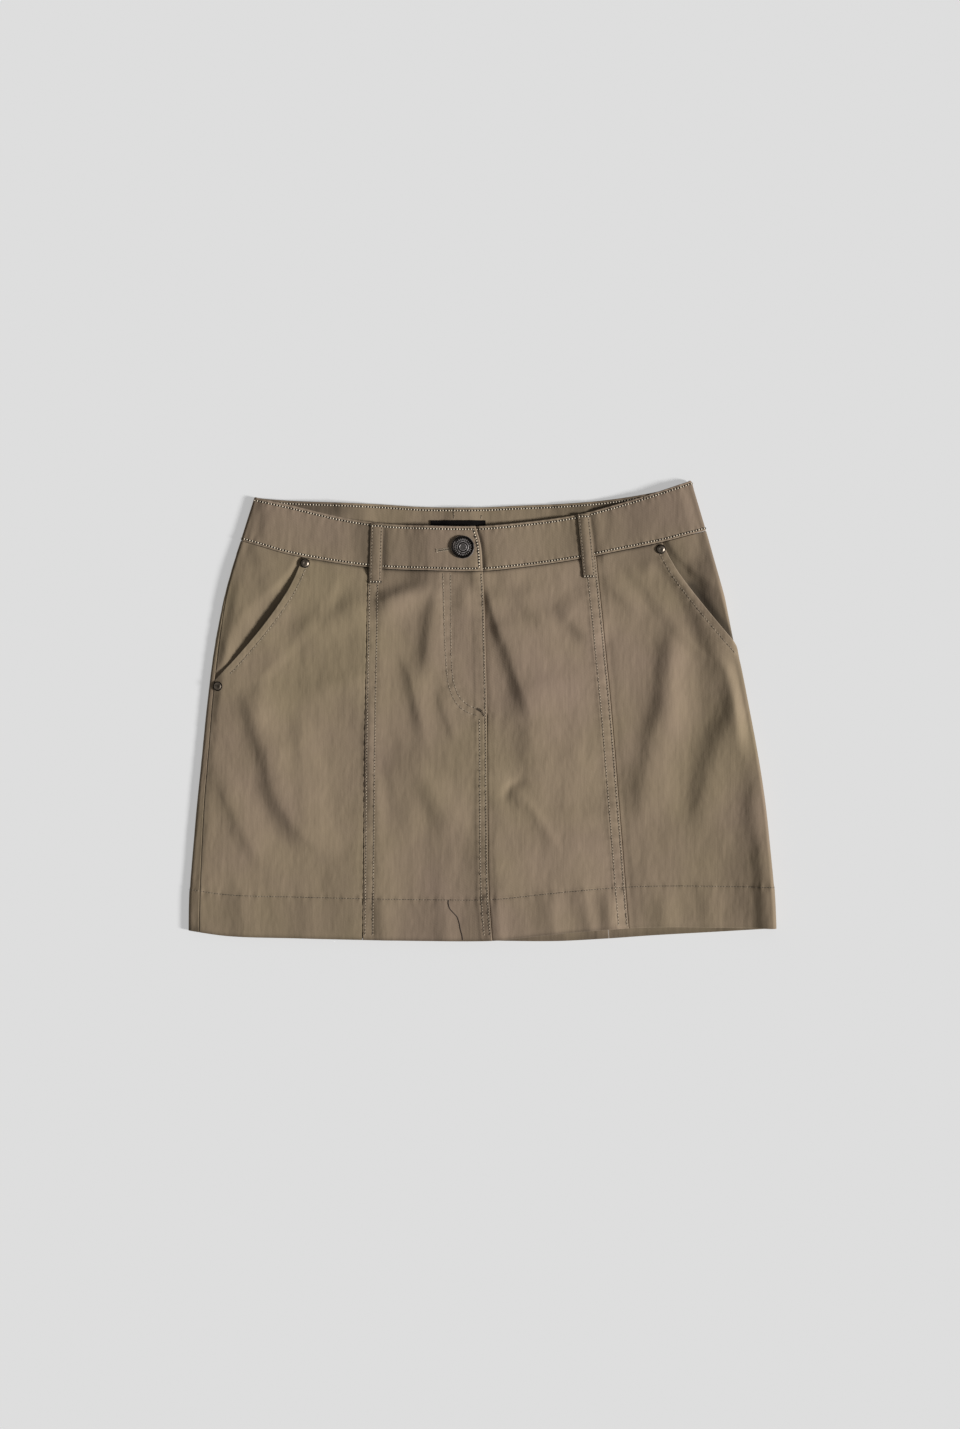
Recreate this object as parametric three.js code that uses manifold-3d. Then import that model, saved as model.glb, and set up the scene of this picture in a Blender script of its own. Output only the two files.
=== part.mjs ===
// A-line mini skirt with a zip fly, in cotton twill, laid flat on its back on a level surface.
// Units are millimetres and +Z is up. +X points to the right of someone looking down at the front,
// and +Y runs from the hem to the waist. The origin is under the middle of the laid skirt.
import * as THREE from "three";
import { mergeVertices } from "three/addons/utils/BufferGeometryUtils.js";
import Module from "manifold-3d";

// Cloth walls.
const CLOTH = 1.1; // one ply of twill with its seam allowances pressed flat
const HEM_WALL = 1.8; // the turned-up hem
const BAND_WALL = 1.8; // the front waistband, outer and inner ply sewn together
const LOOP_WALL = 1.3;
const LABEL_WALL = 0.6;
const SEAM_GAP = 0.3; // between the edges of two pieces sewn together
const PLY_GAP = 0.3; // between two pieces that lie on each other

// Depths and widths.
const HEM_DEPTH = 34;
const LOOP_WIDTH = 10.7;
const BACK_REACH = 10; // how far a back loop's lower end comes below the waistband
const LOOP_BOW = 1.2; // how far a loop stands off the waistband's middle
const FACING_WIDTH = 26; // pocket facing hidden under the front, past the mouth
const UNDERLAP = 40; // right waistband end hidden under the left one
const LABEL_WIDTH = 45;
const LABEL_DEPTH = 22;
const LABEL_DROP = 11; // its upper edge below the back waistband's
const FLAP_WIDTH = 34; // fly flap, from its edge to its curved stitching

// Heights of the top face of the front above the surface it all lies on.
const FRONT_HEIGHT = 3.4;
const HEM_HEIGHT = 4.1;
const BAND_HEIGHT = 6.2;
const BAND_MIDDLE_HEIGHT = 7.1; // where it lies on the label
const SEAM_STEP = 0.7; // the front's top edge below the waistband's face
const FLAP_HEIGHT = 5.4;
const UNDERFLAP_HEIGHT = 3.7;
const LAYER = CLOTH + PLY_GAP;
const LOWEST_FRONT = LAYER + CLOTH + 0.2; // the front just clear of the back

// Hard trims.
const BUTTON_RADIUS = 9.4;
const BUTTON_SHANK_RADIUS = 2.4;
const BUTTON_HEIGHT = 3;
const RIVET_RADIUS = 3.9;
const RIVET_HEIGHT = 1.3;
const POST_RADIUS = 1.5;
const POST_CLEARANCE = 0.3;
const RIVET_POST = 2.6; // reach of a post below the face
const TRIM_GAP = 0.4; // under a trim's flat side
const ZIP_TAPE_WALL = 0.8;
const ZIP_CHAIN_WALL = 1.4;
const ZIP_WIDTH = 22;
const ZIP_CHAIN_WIDTH = 6;
const ZIP_BEVEL = 0.3;

// Levels of the laid tube, from hem to waist. left and right: its outer edges. leftRoll and
// rightRoll: radius of the rounded fold there. The other columns are where seams cross the level:
// sideSeam on top by the left fold, wrap the right side seam's distance past the right fold,
// leftSeam, centre and rightSeam the front's seams, backLeft and backRight the back's.
const LEVELS = [
  { y: -190, left: -240.6, right: 240.6, leftRoll: 2.4, rightRoll: 2.9, sideSeam: -232.2, wrap: 8.5,
    leftSeam: -98.1, centre: 8.2, rightSeam: 120.8, backLeft: -120, backRight: 104 },
  { y: -151, left: -240.0, right: 239.0, leftRoll: 2.4, rightRoll: 2.7, sideSeam: -231.3, wrap: 8.5,
    leftSeam: -97.7, centre: 5.4, rightSeam: 117.6, backLeft: -119, backRight: 101 },
  { y: -114, left: -237.2, right: 235.6, leftRoll: 2.4, rightRoll: 2.6, sideSeam: -229.8, wrap: 8.5,
    leftSeam: -97.3, centre: 4.5, rightSeam: 114.8, backLeft: -118, backRight: 98 },
  { y: -73, left: -233.6, right: 231.2, leftRoll: 2.4, rightRoll: 2.6, sideSeam: -227.6, wrap: 9,
    leftSeam: -96.9, centre: 4.2, rightSeam: 111.5, backLeft: -116.5, backRight: 94 },
  { y: -32, left: -229.4, right: 224.8, leftRoll: 2.4, rightRoll: 2.8, sideSeam: -224.2, wrap: 10,
    leftSeam: -96.5, centre: 4.0, rightSeam: 108.2, backLeft: -115, backRight: 90 },
  { y: 9, left: -225.2, right: 217.3, leftRoll: 2.5, rightRoll: 3.3, sideSeam: -220.9, wrap: 11,
    leftSeam: -95.8, centre: 3.6, rightSeam: 104.7, backLeft: -113.5, backRight: 86.5 },
  { y: 50, left: -219.9, right: 208.8, leftRoll: 2.6, rightRoll: 3.8, sideSeam: -216.2, wrap: 12,
    leftSeam: -95.0, centre: 2.6, rightSeam: 100.6, backLeft: -111.5, backRight: 82.5 },
  { y: 91, left: -212.0, right: 198.8, leftRoll: 2.9, rightRoll: 3.4, sideSeam: -210.3, wrap: 12.5,
    leftSeam: -94.3, centre: 1.5, rightSeam: 96.6, backLeft: -109, backRight: 78.5 },
  { y: 115, left: -205.6, right: 192.2, leftRoll: 3.1, rightRoll: 3.2, sideSeam: -204.4, wrap: 12.5,
    leftSeam: -93.8, centre: 0.1, rightSeam: 94.1, backLeft: -107.5, backRight: 76.5 },
  { y: 139, left: -198.2, right: 185.6, leftRoll: 3.1, rightRoll: 3.1, sideSeam: -197.2, wrap: 12,
    leftSeam: -93.3, centre: -2.2, rightSeam: 92.0, backLeft: -106, backRight: 75 },
  { y: 175, left: -186.8, right: 175.0, leftRoll: 3.1, rightRoll: 3.1, sideSeam: -185.8, wrap: 11,
    leftSeam: -92.5, centre: -15, rightSeam: 89.0, backLeft: -104, backRight: 73 },
  { y: 189, left: -182.4, right: 170.8, leftRoll: 3.1, rightRoll: 3.1, sideSeam: -181.4, wrap: 10.5,
    leftSeam: -92, centre: -21, rightSeam: 88.0, backLeft: -103, backRight: 72 },
];

// Edges that run from side to side. hem and backHem: the front's and the back's lower edge.
const HEM_LINE = [
  { x: -241, hem: -179.8, backHem: -179.8 },
  { x: -207, hem: -184.4, backHem: -183.4 },
  { x: -150, hem: -186.2, backHem: -185.0 },
  { x: -98, hem: -187.4, backHem: -186.2 },
  { x: -43, hem: -188.3, backHem: -187.4 },
  { x: 8, hem: -188.0, backHem: -188.2 },
  { x: 58, hem: -182.9, backHem: -188.6 },
  { x: 100, hem: -179.2, backHem: -186.6 },
  { x: 140, hem: -177.2, backHem: -183.8 },
  { x: 190, hem: -177.3, backHem: -181.0 },
  { x: 241, hem: -178.0, backHem: -178.0 },
];

// seam and top: the front waistband's lower and upper edge. backSeam and backTop: the back one's.
const WAIST_LINE = [
  { x: -198, seam: 139.4, top: 178.6, backSeam: 139.4, backTop: 178.6 },
  { x: -186, seam: 136.0, top: 174.9, backSeam: 138.4, backTop: 174.9 },
  { x: -158, seam: 128.0, top: 168.6, backSeam: 136.1, backTop: 172.3 },
  { x: -117, seam: 120.6, top: 158.9, backSeam: 132.8, backTop: 170.6 },
  { x: -85, seam: 116.7, top: 153.8, backSeam: 131.4, backTop: 169.4 },
  { x: -50, seam: 115.1, top: 151.8, backSeam: 129.4, backTop: 167.2 },
  { x: -5, seam: 114.2, top: 151.2, backSeam: 128.8, backTop: 166.8 },
  { x: 30, seam: 117.2, top: 154.0, backSeam: 130.2, backTop: 168.3 },
  { x: 76, seam: 123.8, top: 160.4, backSeam: 132.4, backTop: 170.4 },
  { x: 113, seam: 131.2, top: 170.0, backSeam: 136.0, backTop: 174.2 },
  { x: 146, seam: 138.0, top: 180.2, backSeam: 140.6, backTop: 180.2 },
  { x: 171, seam: 144.4, top: 188.6, backSeam: 145.0, backTop: 188.6 },
  { x: 184, seam: 147.8, top: 193.0, backSeam: 147.8, backTop: 193.0 },
];

// Pocket mouths, from their top end: out towards the side seam and down towards the hem.
const MOUTH_TOP_LEFT = { x: -146.4, y: 127.1 };
const MOUTH_TOP_RIGHT = { x: 147.0, y: 138.0 };
const MOUTH = [
  { out: -6, leftDown: -14, rightDown: -14 },
  { out: 0, leftDown: 0, rightDown: 0 },
  { out: 12.3, leftDown: 26, rightDown: 23 },
  { out: 31, leftDown: 52, rightDown: 48 },
  { out: 54, leftDown: 80, rightDown: 76 },
  { out: 75, leftDown: 104, rightDown: 99 },
];
const MOUTH_END_LEFT = MOUTH_TOP_LEFT.y - 101;
const MOUTH_END_RIGHT = MOUTH_TOP_RIGHT.y - 99;

// The largest folds of the laid front: a ridge where rise is above zero and a trough below it,
// from one end to the other, bowed sideways by bow, half as wide as width says each side.
const FOLDS = [
  { name: "drag beside the fly", x0: 3, y0: 96, x1: 50, y1: -30, bow: 4, rise: -0.9, width: 7 },
  { name: "pull from the fly", x0: 24, y0: 92, x1: 70, y1: 0, bow: -6, rise: 0.9, width: 20 },
  { name: "centre swell", x0: 60, y0: 50, x1: 70, y1: -40, bow: 0, rise: 0.7, width: 26 },
  { name: "fly ridge", x0: 8, y0: 55, x1: 11, y1: -28, bow: 0, rise: 0.5, width: 6 },
  { name: "trough left of the fly", x0: -44, y0: 92, x1: -56, y1: -14, bow: -10, rise: -0.7, width: 8 },
  { name: "ridge left of the fly", x0: -80, y0: 80, x1: -76, y1: -10, bow: 0, rise: 0.6, width: 13 },
  { name: "loop drag", x0: -140, y0: 78, x1: -58, y1: 106, bow: 3, rise: -0.7, width: 9 },
  { name: "swell under the loop drag", x0: -140, y0: 58, x1: -105, y1: 66, bow: 0, rise: 0.7, width: 16 },
  { name: "left fold", x0: -206, y0: 2, x1: -156, y1: -90, bow: -9, rise: 1.3, width: 9 },
  { name: "trough by the left fold", x0: -206, y0: -22, x1: -170, y1: -98, bow: -7, rise: -0.8, width: 8 },
  { name: "low left fold", x0: -212, y0: -62, x1: -190, y1: -124, bow: -3, rise: 0.6, width: 8 },
  { name: "left panel swell", x0: -150, y0: 30, x1: -146, y1: -70, bow: 0, rise: 0.6, width: 18 },
  { name: "seam drag", x0: -108, y0: 4, x1: -100, y1: -60, bow: 0, rise: -0.5, width: 7 },
  { name: "small tick", x0: -38, y0: 16, x1: -26, y1: -24, bow: -1, rise: -0.7, width: 5 },
  { name: "centre crease", x0: 26, y0: -68, x1: 102, y1: -90, bow: -3, rise: 0.6, width: 7 },
  { name: "centre dimple", x0: 20, y0: -72, x1: 36, y1: -58, bow: 0, rise: -0.7, width: 5 },
  { name: "hem swell", x0: -60, y0: -70, x1: -20, y1: -150, bow: 0, rise: 0.5, width: 22 },
  { name: "right ridge", x0: 160, y0: 80, x1: 134, y1: -74, bow: -4, rise: 1.5, width: 11 },
  { name: "right trough", x0: 178, y0: 45, x1: 158, y1: -84, bow: -2, rise: -0.7, width: 9 },
  { name: "outer right ridge", x0: 196, y0: 30, x1: 176, y1: -84, bow: -3, rise: 1.2, width: 10 },
  { name: "inner right trough", x0: 128, y0: 30, x1: 120, y1: -66, bow: -2, rise: -0.6, width: 9 },
  { name: "hem flute", x0: 92, y0: -140, x1: 106, y1: -182, bow: 0, rise: 0.9, width: 8 },
  { name: "hem flute dimple", x0: 98, y0: -158, x1: 98, y1: -182, bow: 0, rise: -0.6, width: 4 },
  { name: "right hem swell", x0: 180, y0: -110, x1: 190, y1: -170, bow: 0, rise: 0.5, width: 22 },
];

// Where cloth rides over something under it: it lies flat on it as far as FLAT from its middle or
// edge, and is down again at FADE.
const LOOP_FLAT = 7;
const LOOP_FADE = 19;
const LOOP_END_FLAT = 15; // below the waist seam
const LOOP_END_FADE = 34;
const RIVET_FLAT = 12;
const RIVET_FADE = 32;
const FACING_FLAT = 8;
const FACING_FADE = 22;
const FACING_END_FLAT = 30; // below the end of a pocket mouth
const FACING_END_FADE = 48;
const UNDERLAP_FLAT = 2;
const UNDERLAP_FADE = 26;
const LABEL_LEFT = { flat: -45, fade: -68 };
const LABEL_RIGHT = { flat: 18, fade: 52 };
const FLAP_FLAT = 3; // in from the zip's edge
const FLAP_FADE = 16; // past the flap's curved stitching
const UNDERFLAP_FLAT = 3; // past the flap's edge
const UNDERFLAP_FADE = 24;
const FLY_END_FLAT = 3; // below the fly's end
const FLY_END_FADE = 30;
const WAIST_FLAT = 4; // below the waist seam
const WAIST_FADE = 30;
const HEM_FLAT = 1; // above the hem's turn
const HEM_FADE = 16;
const SIDE_FADE = 16; // in from a side fold
const FOLD_FADE = 0.25; // share of a fold's length

// Belt loops: the middle of each at the waistband's top edge and at its own lower end, and how far
// that end comes below the waistband.
const FRONT_LOOPS = [
  { name: "belt_loop_front_left", topX: -86.1, lowX: -87.8, reach: 12.5 },
  { name: "belt_loop_front_right", topX: 82.6, lowX: 87.6, reach: 17 },
];
const BACK_LOOPS = [
  { name: "belt_loop_back_left", topX: -104.5, lowX: -106.5, reach: BACK_REACH },
  { name: "belt_loop_back_centre", topX: -17.5, lowX: -16, reach: BACK_REACH },
  { name: "belt_loop_back_right", topX: 73.5, lowX: 75.5, reach: BACK_REACH },
];

const BUTTON_PLACE = { x: -16.0, y: 133.8 };
const BUTTONHOLE_LENGTH = 22;
const SLIT_WIDTH = 1.4;
const RIVET_TOP_LEFT = { x: -145.2, y: 120.9 };
const RIVET_TOP_RIGHT = { x: 146.0, y: 132.4 };
const RIVET_LOW_LEFT = { x: -216.4, y: 20.2 };
const RIVET_LOW_RIGHT_Y = 34; // its place along the right side seam, on the underside
const RIVET_INSET = 2; // the lower rivets' centre to the side seam

// Fly: the flap's edge follows the centre line from the waistband down to FLY_END.
const FLY_END = -3;
const FLAP_START = 6; // stretch over which the right front's edge goes under the flap
const FLAP_COVER = 5.5; // how far the flap covers it
const ZIP_OFFSET = 13; // the zip's middle to the flap's edge

// Smooth curves through the rows of a table.
function slopeAt(table, key, column, i) {
  const before = table[Math.max(i - 1, 0)];
  const after = table[Math.min(i + 1, table.length - 1)];
  return (after[column] - before[column]) / (after[key] - before[key]);
}

function along(table, key, column, place) {
  const last = table.length - 1;
  if (place <= table[0][key] || place >= table[last][key]) {
    const end = place <= table[0][key] ? 0 : last;
    return table[end][column] + slopeAt(table, key, column, end) * (place - table[end][key]);
  }
  let i = 0;
  while (table[i + 1][key] < place) i += 1;
  const span = table[i + 1][key] - table[i][key];
  const t = (place - table[i][key]) / span;
  const rise = table[i + 1][column] - table[i][column];
  const m0 = slopeAt(table, key, column, i) * span;
  const m1 = slopeAt(table, key, column, i + 1) * span;
  return table[i][column] + m0 * t + (3 * rise - 2 * m0 - m1) * t * t + (m0 + m1 - 2 * rise) * t ** 3;
}

const level = (column, y) => along(LEVELS, "y", column, y);
const hemLine = (column, x) => along(HEM_LINE, "x", column, x);
const waistLine = (column, x) => along(WAIST_LINE, "x", column, x);
const mix = (a, b, t) => a + (b - a) * t;

// 0 before start, 1 after end and smooth between; start may be the larger of the two.
function ease(start, end, value) {
  const t = Math.min(Math.max((value - start) / (end - start), 0), 1);
  return t * t * (3 - 2 * t);
}

// The side folds: where each round starts, and how far round it the side seam lies.
const leftStart = (y) => level("left", y) + level("leftRoll", y);
const rightStart = (y) => level("right", y) - level("rightRoll", y);

function leftSeamRound(y) {
  const roll = level("leftRoll", y);
  const past = level("sideSeam", y) - leftStart(y);
  if (past >= 0) return Math.PI * roll + past;
  return roll * (Math.PI - Math.asin(Math.min(-past / roll, 1)));
}

const rightSeamRound = (y) => level("rightRoll", y) + level("wrap", y);

// The side seams as places across: on the front's measure and on the back's.
const frontLeftEnd = (y) => leftStart(y) + leftSeamRound(y) - Math.PI * level("leftRoll", y);
const frontRightEnd = (y) => rightStart(y) + rightSeamRound(y);
const backLeftEnd = (y) => leftStart(y) - leftSeamRound(y);
const backRightEnd = (y) => rightStart(y) - rightSeamRound(y) + Math.PI * level("rightRoll", y);

// Mouth of a pocket: its place across at a level.
const mouthLeft = (y) => MOUTH_TOP_LEFT.x - along(MOUTH, "leftDown", "out", MOUTH_TOP_LEFT.y - y);
const mouthRight = (y) => MOUTH_TOP_RIGHT.x + along(MOUTH, "rightDown", "out", MOUTH_TOP_RIGHT.y - y);

// The low right rivet, under the skirt where the right mouth ends.
const RIVET_LOW_RIGHT = { x: backRightEnd(RIVET_LOW_RIGHT_Y) + RIVET_INSET, y: RIVET_LOW_RIGHT_Y };

// How far the back's own loops and that rivet hold it off the surface.
function undersideLift(x, y) {
  const away = Math.hypot(x - RIVET_LOW_RIGHT.x, y - RIVET_LOW_RIGHT.y);
  let lift = (RIVET_HEIGHT + PLY_GAP) * ease(RIVET_FADE, RIVET_FLAT, away);
  const seam = waistLine("backSeam", x);
  const overLoops = (LOOP_WALL + PLY_GAP) * ease(seam - LOOP_END_FADE, seam - LOOP_END_FLAT, y);
  for (const loop of BACK_LOOPS) {
    const aside = Math.abs(x - (loop.lowX + loop.topX) / 2);
    lift += overLoops * ease(LOOP_FADE, LOOP_FLAT, aside);
  }
  return lift;
}

function foldRise(x, y) {
  let rise = 0;
  for (const fold of FOLDS) {
    const dx = fold.x1 - fold.x0;
    const dy = fold.y1 - fold.y0;
    const length = Math.hypot(dx, dy);
    const t = ((x - fold.x0) * dx + (y - fold.y0) * dy) / (length * length);
    const aside = ((x - fold.x0) * -dy + (y - fold.y0) * dx) / length - fold.bow * 4 * t * (1 - t);
    const ends = ease(-FOLD_FADE, FOLD_FADE, t) * ease(1 + FOLD_FADE, 1 - FOLD_FADE, t);
    rise += fold.rise * ends * Math.exp(-((aside / fold.width) ** 2));
  }
  return rise;
}

// How much of a pocket facing lies under the front: 1 over it and 0 well away from it.
function facingCover(x, y) {
  const cover = (past, end) => ease(FACING_FADE, FACING_FLAT, past - FACING_WIDTH)
    * ease(end - FACING_END_FADE, end - FACING_END_FLAT, y);
  const left = cover(x - mouthLeft(Math.max(y, MOUTH_END_LEFT)), MOUTH_END_LEFT);
  const right = cover(mouthRight(Math.max(y, MOUTH_END_RIGHT)) - x, MOUTH_END_RIGHT);
  return Math.max(left, right);
}

// Blend of a height towards the side folds, where the cloth stands up to twice the fold's radius.
function atSides(height, x, y) {
  const left = mix(height, 2 * level("leftRoll", y), ease(SIDE_FADE, 0, x - leftStart(y)));
  return mix(left, 2 * level("rightRoll", y), ease(SIDE_FADE, 0, rightStart(y) - x));
}

// Heights of the front waistband's outer face: where it lies on the label and the hidden loop it
// is higher, and its left end lies on the underlap.
function bandTop(x, y) {
  const onLabel = ease(LABEL_LEFT.fade, LABEL_LEFT.flat, x) * ease(LABEL_RIGHT.fade, LABEL_RIGHT.flat, x);
  return atSides(mix(BAND_HEIGHT, BAND_MIDDLE_HEIGHT, onLabel), x, y);
}

function bandOverTop(x, y) {
  const onUnderlap = ease(-UNDERLAP - UNDERLAP_FADE, -UNDERLAP - UNDERLAP_FLAT, x);
  return bandTop(x, y) + (BAND_WALL + PLY_GAP) * onUnderlap;
}

// Height of the front's outer face below a waistband whose height is given, without the fly.
function nearWaist(x, y) {
  const seam = waistLine("seam", x);
  return ease(seam - WAIST_FADE, seam - WAIST_FLAT, y);
}

function bodyTop(x, y, band) {
  const hemTop = hemLine("hem", x) + HEM_DEPTH;
  const cover = facingCover(x, y);
  const flat = mix(FRONT_HEIGHT, HEM_HEIGHT, ease(hemTop + HEM_FADE, hemTop + HEM_FLAT, y)) + cover;
  const least = LOWEST_FRONT + LAYER * cover + undersideLift(x, y);
  const folded = Math.max(flat + foldRise(x, y), least);
  return atSides(mix(folded, band(x, y) - SEAM_STEP, nearWaist(x, y)), x, y);
}

const sideTop = (x, y) => bodyTop(x, y, bandTop);

// The fly: the flap rises over the zip and the right front's edge, which itself lies on the zip.
const beside = (y) => ease(FLY_END - FLY_END_FADE, FLY_END - FLY_END_FLAT, y);

function flapTop(x, y) {
  const edge = level("centre", y);
  const body = bodyTop(x, y, bandOverTop);
  const flap = mix(FLAP_HEIGHT, bandOverTop(x, y) - SEAM_STEP, nearWaist(x, y));
  const onZip = ease(edge - FLAP_WIDTH - FLAP_FADE, edge - ZIP_OFFSET - ZIP_WIDTH / 2 + FLAP_FLAT, x);
  return Math.max(body, mix(body, flap, onZip * beside(y)));
}

function underflapTop(x, y) {
  const edge = level("centre", y);
  const body = bodyTop(x, y, bandTop);
  const under = mix(UNDERFLAP_HEIGHT, bandTop(x, y) - SEAM_STEP, nearWaist(x, y));
  return mix(body, under, ease(edge + UNDERFLAP_FADE, edge + UNDERFLAP_FLAT, x) * beside(y));
}

// Places across the laid tube. On the front they run right over the top face and on round the
// right fold; on the back they run right under it, starting round the left fold. Each gives the
// x it comes to and whether it is on the underside.
function frontPlace(s, y) {
  const start = rightStart(y);
  const roll = level("rightRoll", y);
  const angle = (s - start) / roll;
  if (s < leftStart(y)) {
    const leftRoll = level("leftRoll", y);
    return { x: leftStart(y) - leftRoll * Math.sin((leftStart(y) - s) / leftRoll), under: false };
  }
  if (angle <= 0) return { x: s, under: false };
  if (angle >= Math.PI) return { x: start - (angle - Math.PI) * roll, under: true };
  return { x: start + roll * Math.sin(angle), under: angle > Math.PI / 2 };
}

function backPlace(s, y) {
  const start = leftStart(y);
  const roll = level("leftRoll", y);
  const angle = (start - s) / roll;
  if (angle <= 0) return { x: s, under: true };
  if (angle >= Math.PI) return { x: start + (angle - Math.PI) * roll, under: false };
  return { x: start - roll * Math.sin(angle), under: angle < Math.PI / 2 };
}

const hemAt = ({ x, under }) => hemLine(under ? "backHem" : "hem", x);
const seamAt = ({ x, under }) => waistLine(under ? "backSeam" : "seam", x);
const topAt = ({ x, under }) => waistLine(under ? "backTop" : "top", x);

// A point of a layer at such a place, at a depth under the tube's outer face.
function onFront(s, y, depth, heightOf) {
  const start = rightStart(y);
  const roll = level("rightRoll", y);
  const angle = (s - start) / roll;
  if (s < leftStart(y)) {
    const before = (leftStart(y) - s) / level("leftRoll", y);
    return onLeftFold(Math.PI - before, y, depth, heightOf);
  }
  if (angle <= 0) return [s, y, heightOf(s, y) - depth];
  const { x } = frontPlace(s, y);
  if (angle >= Math.PI) return [x, y, undersideLift(x, y) + depth];
  const floor = undersideLift(start, y);
  const tall = (heightOf(start, y) - floor) / 2;
  return [start + (roll - depth) * Math.sin(angle), y, floor + tall + (tall - depth) * Math.cos(angle)];
}

function onBack(s, y, depth, heightOf) {
  const start = leftStart(y);
  const roll = level("leftRoll", y);
  const angle = (start - s) / roll;
  if (angle <= 0) return [s, y, undersideLift(s, y) + depth];
  if (angle < Math.PI) return onLeftFold(angle, y, depth, heightOf);
  const { x } = backPlace(s, y);
  return [x, y, heightOf(x, y) - depth];
}

function onLeftFold(angle, y, depth, heightOf) {
  const start = leftStart(y);
  const tall = heightOf(start, y) / 2;
  const reach = level("leftRoll", y) - depth;
  return [start - reach * Math.sin(angle), y, tall - (tall - depth) * Math.cos(angle)];
}

// A piece of cloth as one closed wall over a net of places. columns holds a function for each
// column, which gives its place across at a level; levelsOf gives a column's levels, and outer and
// inner the two faces' points. keep, when given, is above zero where there is cloth, and the wall
// is cut along its zero line.
function clothWall({ columns, levelsOf, outer, inner, keep = () => 1 }) {
  const net = columns.flatMap((column, i) => levelsOf(column).map((y, j) => {
    const s = column(y);
    return { s, y, kept: keep(s, y), outer: outer(s, y, i, j), inner: inner(s, y, i, j) };
  }));
  const rows = net.length / columns.length - 1;
  const corners = new Map();
  const keyOf = (spot) => {
    const key = `${spot.s.toFixed(3)},${spot.y.toFixed(3)}`;
    if (!corners.has(key)) corners.set(key, { index: corners.size, spot });
    return key;
  };
  const faces = [];
  const addFace = (...spots) => {
    const named = cutSpots(spots).map(keyOf);
    const keys = named.filter((key, at) => key !== named[(at + 1) % named.length]);
    for (let k = 1; k + 1 < keys.length; k += 1) faces.push([keys[0], keys[k], keys[k + 1]]);
  };
  for (let i = 0; i + 1 < columns.length; i += 1) {
    for (let j = 0; j < rows; j += 1) {
      const here = i * (rows + 1) + j;
      const next = here + rows + 1;
      addFace(net[here], net[next], net[next + 1]);
      addFace(net[here], net[next + 1], net[here + 1]);
    }
  }
  const count = corners.size;
  const positions = new Float32Array(count * 6);
  for (const { index, spot } of corners.values()) {
    positions.set(spot.outer, index * 3);
    positions.set(spot.inner, (index + count) * 3);
  }
  const triangles = [];
  const edges = new Set(faces.flatMap(([a, b, c]) => [`${a}|${b}`, `${b}|${c}`, `${c}|${a}`]));
  const indexOf = (key) => corners.get(key).index;
  for (const [a, b, c] of faces.map((face) => face.map(indexOf))) {
    triangles.push(a, b, c, a + count, c + count, b + count);
  }
  for (const edge of edges) {
    const [from, to] = edge.split("|");
    if (edges.has(`${to}|${from}`)) continue;
    const [a, b] = [indexOf(from), indexOf(to)];
    triangles.push(a, a + count, b + count, a, b + count, b);
  }
  return outwards(positions, triangles);
}

// The part of a net's triangle that is kept, with new corners where keep crosses zero.
function cutSpots(spots) {
  const blend = (a, b, t) => a.map((value, axis) => mix(value, b[axis], t));
  return spots.flatMap((spot, place) => {
    const next = spots[(place + 1) % spots.length];
    const kept = spot.kept >= 0 ? [spot] : [];
    if (spot.kept >= 0 === next.kept >= 0) return kept;
    const t = spot.kept / (spot.kept - next.kept);
    return [...kept, {
      s: mix(spot.s, next.s, t),
      y: mix(spot.y, next.y, t),
      outer: blend(spot.outer, next.outer, t),
      inner: blend(spot.inner, next.inner, t),
    }];
  });
}

// A geometry from points and triangles, turned so that its faces point outwards.
function outwards(positions, triangles) {
  const corner = (i) => new THREE.Vector3().fromArray(positions, triangles[i] * 3);
  let volume = 0;
  for (let i = 0; i < triangles.length; i += 3) {
    volume += corner(i).dot(corner(i + 1).cross(corner(i + 2)));
  }
  if (volume < 0) triangles.reverse();
  const geometry = new THREE.BufferGeometry();
  geometry.setAttribute("position", new THREE.BufferAttribute(positions, 3));
  geometry.setIndex(triangles);
  return geometry;
}

const wasm = await Module();
wasm.setup();

function asSolid(geometry) {
  const bare = geometry.clone();
  bare.deleteAttribute("normal");
  bare.deleteAttribute("uv");
  const merged = mergeVertices(bare, 1e-4);
  const vertProperties = new Float32Array(merged.attributes.position.array);
  const triVerts = new Uint32Array(merged.index.array);
  return new wasm.Manifold(new wasm.Mesh({ numProp: 3, vertProperties, triVerts }));
}

function asGeometry(solid) {
  const mesh = solid.getMesh();
  return outwards(new Float32Array(mesh.vertProperties), Array.from(mesh.triVerts));
}

function cutAway(geometry, cutters) {
  const cut = cutters.map(asSolid).reduce((left, cutter) => left.subtract(cutter), asSolid(geometry));
  return asGeometry(cut);
}

const joined = (one, other) => asGeometry(asSolid(one).add(asSolid(other)));

// Materials, and the group of named pieces.
function finish(color, roughness, metalness) {
  return new THREE.MeshStandardMaterial({ color, roughness, metalness });
}

const twill = () => finish(0x82725f, 0.92, 0);
const zipTape = () => finish(0x6f6353, 0.9, 0);
const blackWeave = () => finish(0x161616, 0.8, 0);
const darkMetal = () => finish(0x3a342e, 0.38, 0.9);

const skirt = new THREE.Group();

function add(name, geometry, material) {
  const mesh = new THREE.Mesh(geometry, material);
  mesh.name = name;
  skirt.add(mesh);
}

// Metal trims, turned about their own axis with the cloth's face at height zero.
function turned(profile, segments) {
  const points = profile.map(([radius, height]) => new THREE.Vector2(radius, height));
  return new THREE.LatheGeometry(points, segments).rotateX(Math.PI / 2);
}

function hole(radius, bottom, top) {
  return new THREE.CylinderGeometry(radius, radius, top - bottom, 12).rotateX(Math.PI / 2)
    .translate(0, 0, (top + bottom) / 2);
}

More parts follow.
